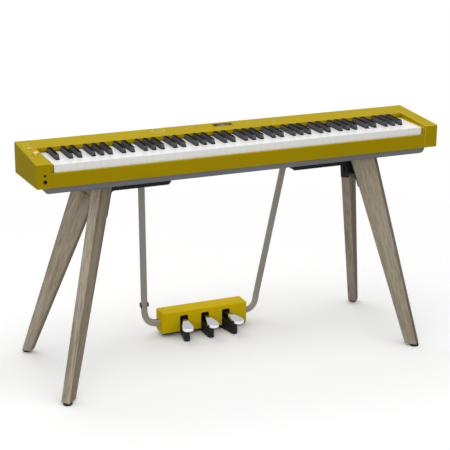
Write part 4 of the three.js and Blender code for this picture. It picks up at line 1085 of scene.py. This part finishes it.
# %% Knob and power button
knob_place = (-643, 98)
knob_steps = 72
knob_profile = (
    (0, -13.9), (3, -13.9), (3, 0.3), (7.6, 0.3), (8, 0.7), (8, 1.6), (7.9, 2), (7.9, 7), (7.7, 8.1),
    (6.9, 8.9), (6.2, 9), (5.8, 8.7), (0, 8.4))
rib_low = 1.9
rib_high = 7.2
rib_share = 0.95
knob = bmesh.new()
turned_shape(knob, knob_profile, knob_steps)
for vertex in knob.verts:
    height = vertex.co.z * 1000
    reach = math.hypot(vertex.co.x, vertex.co.y) * 1000
    step = round(math.atan2(vertex.co.y, vertex.co.x) / (2 * math.pi) * knob_steps)
    if rib_low < height < rib_high and reach > 7 and step % 2:
        vertex.co.x *= rib_share
        vertex.co.y *= rib_share
mark(knob, 0, 6, 0.9, 3, (8.4, 9.1))
knob.transform(top_place(*knob_place))
piece("volume_knob_cap", knob, champagne, "b_volume_knob", ("volume_knob",))

button_place = (-646, 162)
button_profile = (
    (0, -9), (8, -9), (8, -3.3), (6, -3.3), (6, 1.6), (5.8, 2), (5.3, 2.2), (4.8, 2.15), (0, 1.7))
button = bmesh.new()
turned_shape(button, button_profile, 48)
button.transform(top_place(*button_place))
piece("power_button_cap", button, button_white, "b_power_button", ("power_button",))
print("controls in place")

# %% [markdown]
# ## Floor and light
# The photograph stands on a white ground with faint shadows. The camera sees a floor that is a
# little brighter than white paper near the piano and fades to plain white further out, and a white
# world behind it. Rays that only carry light meet a plain mid grey floor and a less bright world.


# %% Helpers for the stage
def seen_directly(nodes, links):
    """1 for rays from the camera, mirrored rays and rays through glass, and 0 for the others."""
    rays = nodes.new("ShaderNodeLightPath")
    found = rays.outputs["Is Camera Ray"]
    for kind in ("Is Glossy Ray", "Is Transmission Ray"):
        either = nodes.new("ShaderNodeMath")
        either.operation = "MAXIMUM"
        links.new(found, either.inputs[0])
        links.new(rays.outputs[kind], either.inputs[1])
        found = either.outputs[0]
    return found


def blended(nodes, links, factor, first, second):
    """A mix of two shaders, all first at factor 0 and all second at factor 1."""
    node = nodes.new("ShaderNodeMixShader")
    for socket, value in enumerate((factor, first, second)):
        links.new(value, node.inputs[socket])
    return node.outputs[0]


def even(tone):
    """A grey of one tone, or white for 1."""
    return (tone, tone, tone, 1)


# %% Floor
floor_half = 9
plain_tone = 0.3
near_tone = 1.2
near_glow = 0.01
fade_from = 0.9
fade_to = 2.2
floor_bm = bmesh.new()
bmesh.ops.create_grid(floor_bm, x_segments=2, y_segments=2, size=floor_half)
floor_mesh = bpy.data.meshes.new("floor")
floor_bm.to_mesh(floor_mesh)
floor_bm.free()
floor = bpy.data.objects.new("floor", floor_mesh)
bpy.context.collection.objects.link(floor)
paper = bpy.data.materials.new("floor_paper")
paper.use_nodes = True
floor_mesh.materials.append(paper)
nodes, links = paper.node_tree.nodes, paper.node_tree.links
nodes.clear()
plain = new_node(nodes, "ShaderNodeBsdfDiffuse", Color=even(plain_tone))
near = new_node(nodes, "ShaderNodeBsdfDiffuse", Color=even(near_tone))
glow = new_node(nodes, "ShaderNodeEmission", Strength=near_glow)
both = nodes.new("ShaderNodeAddShader")
links.new(near.outputs[0], both.inputs[0])
links.new(glow.outputs[0], both.inputs[1])
far = new_node(nodes, "ShaderNodeEmission", Strength=1)
distance = nodes.new("ShaderNodeVectorMath")
distance.operation = "LENGTH"
links.new(nodes.new("ShaderNodeTexCoord").outputs["Object"], distance.inputs[0])
fade = new_node(nodes, "ShaderNodeMapRange", From_Min=fade_from, From_Max=fade_to)
fade.interpolation_type = "SMOOTHSTEP"
links.new(distance.outputs["Value"], fade.inputs["Value"])
ground = blended(nodes, links, fade.outputs["Result"], both.outputs[0], far.outputs[0])
whole = blended(nodes, links, seen_directly(nodes, links), plain.outputs[0], ground)
links.new(whole, nodes.new("ShaderNodeOutputMaterial").inputs["Surface"])
print("floor ready")

# %% World
world_light = 0.62
world = bpy.data.worlds.new("studio")
bpy.context.scene.world = world
world.use_nodes = True
nodes, links = world.node_tree.nodes, world.node_tree.links
nodes.clear()
dim = new_node(nodes, "ShaderNodeBackground", Color=even(1), Strength=world_light)
bright = new_node(nodes, "ShaderNodeBackground", Color=even(1), Strength=1)
sky = blended(nodes, links, seen_directly(nodes, links), dim.outputs[0], bright.outputs[0])
links.new(sky, nodes.new("ShaderNodeOutputWorld").inputs["Surface"])
print("world ready")


# %% Lamps
def lamp(name, place, aim, size, power):
    """A lamp with a rectangular face, at a place in metres and aimed at another."""
    data = bpy.data.lights.new(name, "AREA")
    data.shape = "RECTANGLE"
    data.size, data.size_y = size
    data.energy = power
    made = bpy.data.objects.new(name, data)
    bpy.context.collection.objects.link(made)
    made.location = place
    made.rotation_euler = (Vector(aim) - Vector(place)).to_track_quat("-Z", "Y").to_euler()


lamp("lamp_top", (0, -1, 3.8), (0, 0, 0.7), (3, 2), 29)
lamp("lamp_back", (-0.5, 1.6, 3.6), (0, 0, 0.7), (2.4, 1.8), 13)
lamp("lamp_front", (-1.2, -4, 0.9), (0, 0, 0.4), (1.4, 1), 16)
lamp("lamp_key", (-2.9, -3.2, 1.8), (0, 0, 0.5), (1.4, 1.4), 10)
print("stage ready")
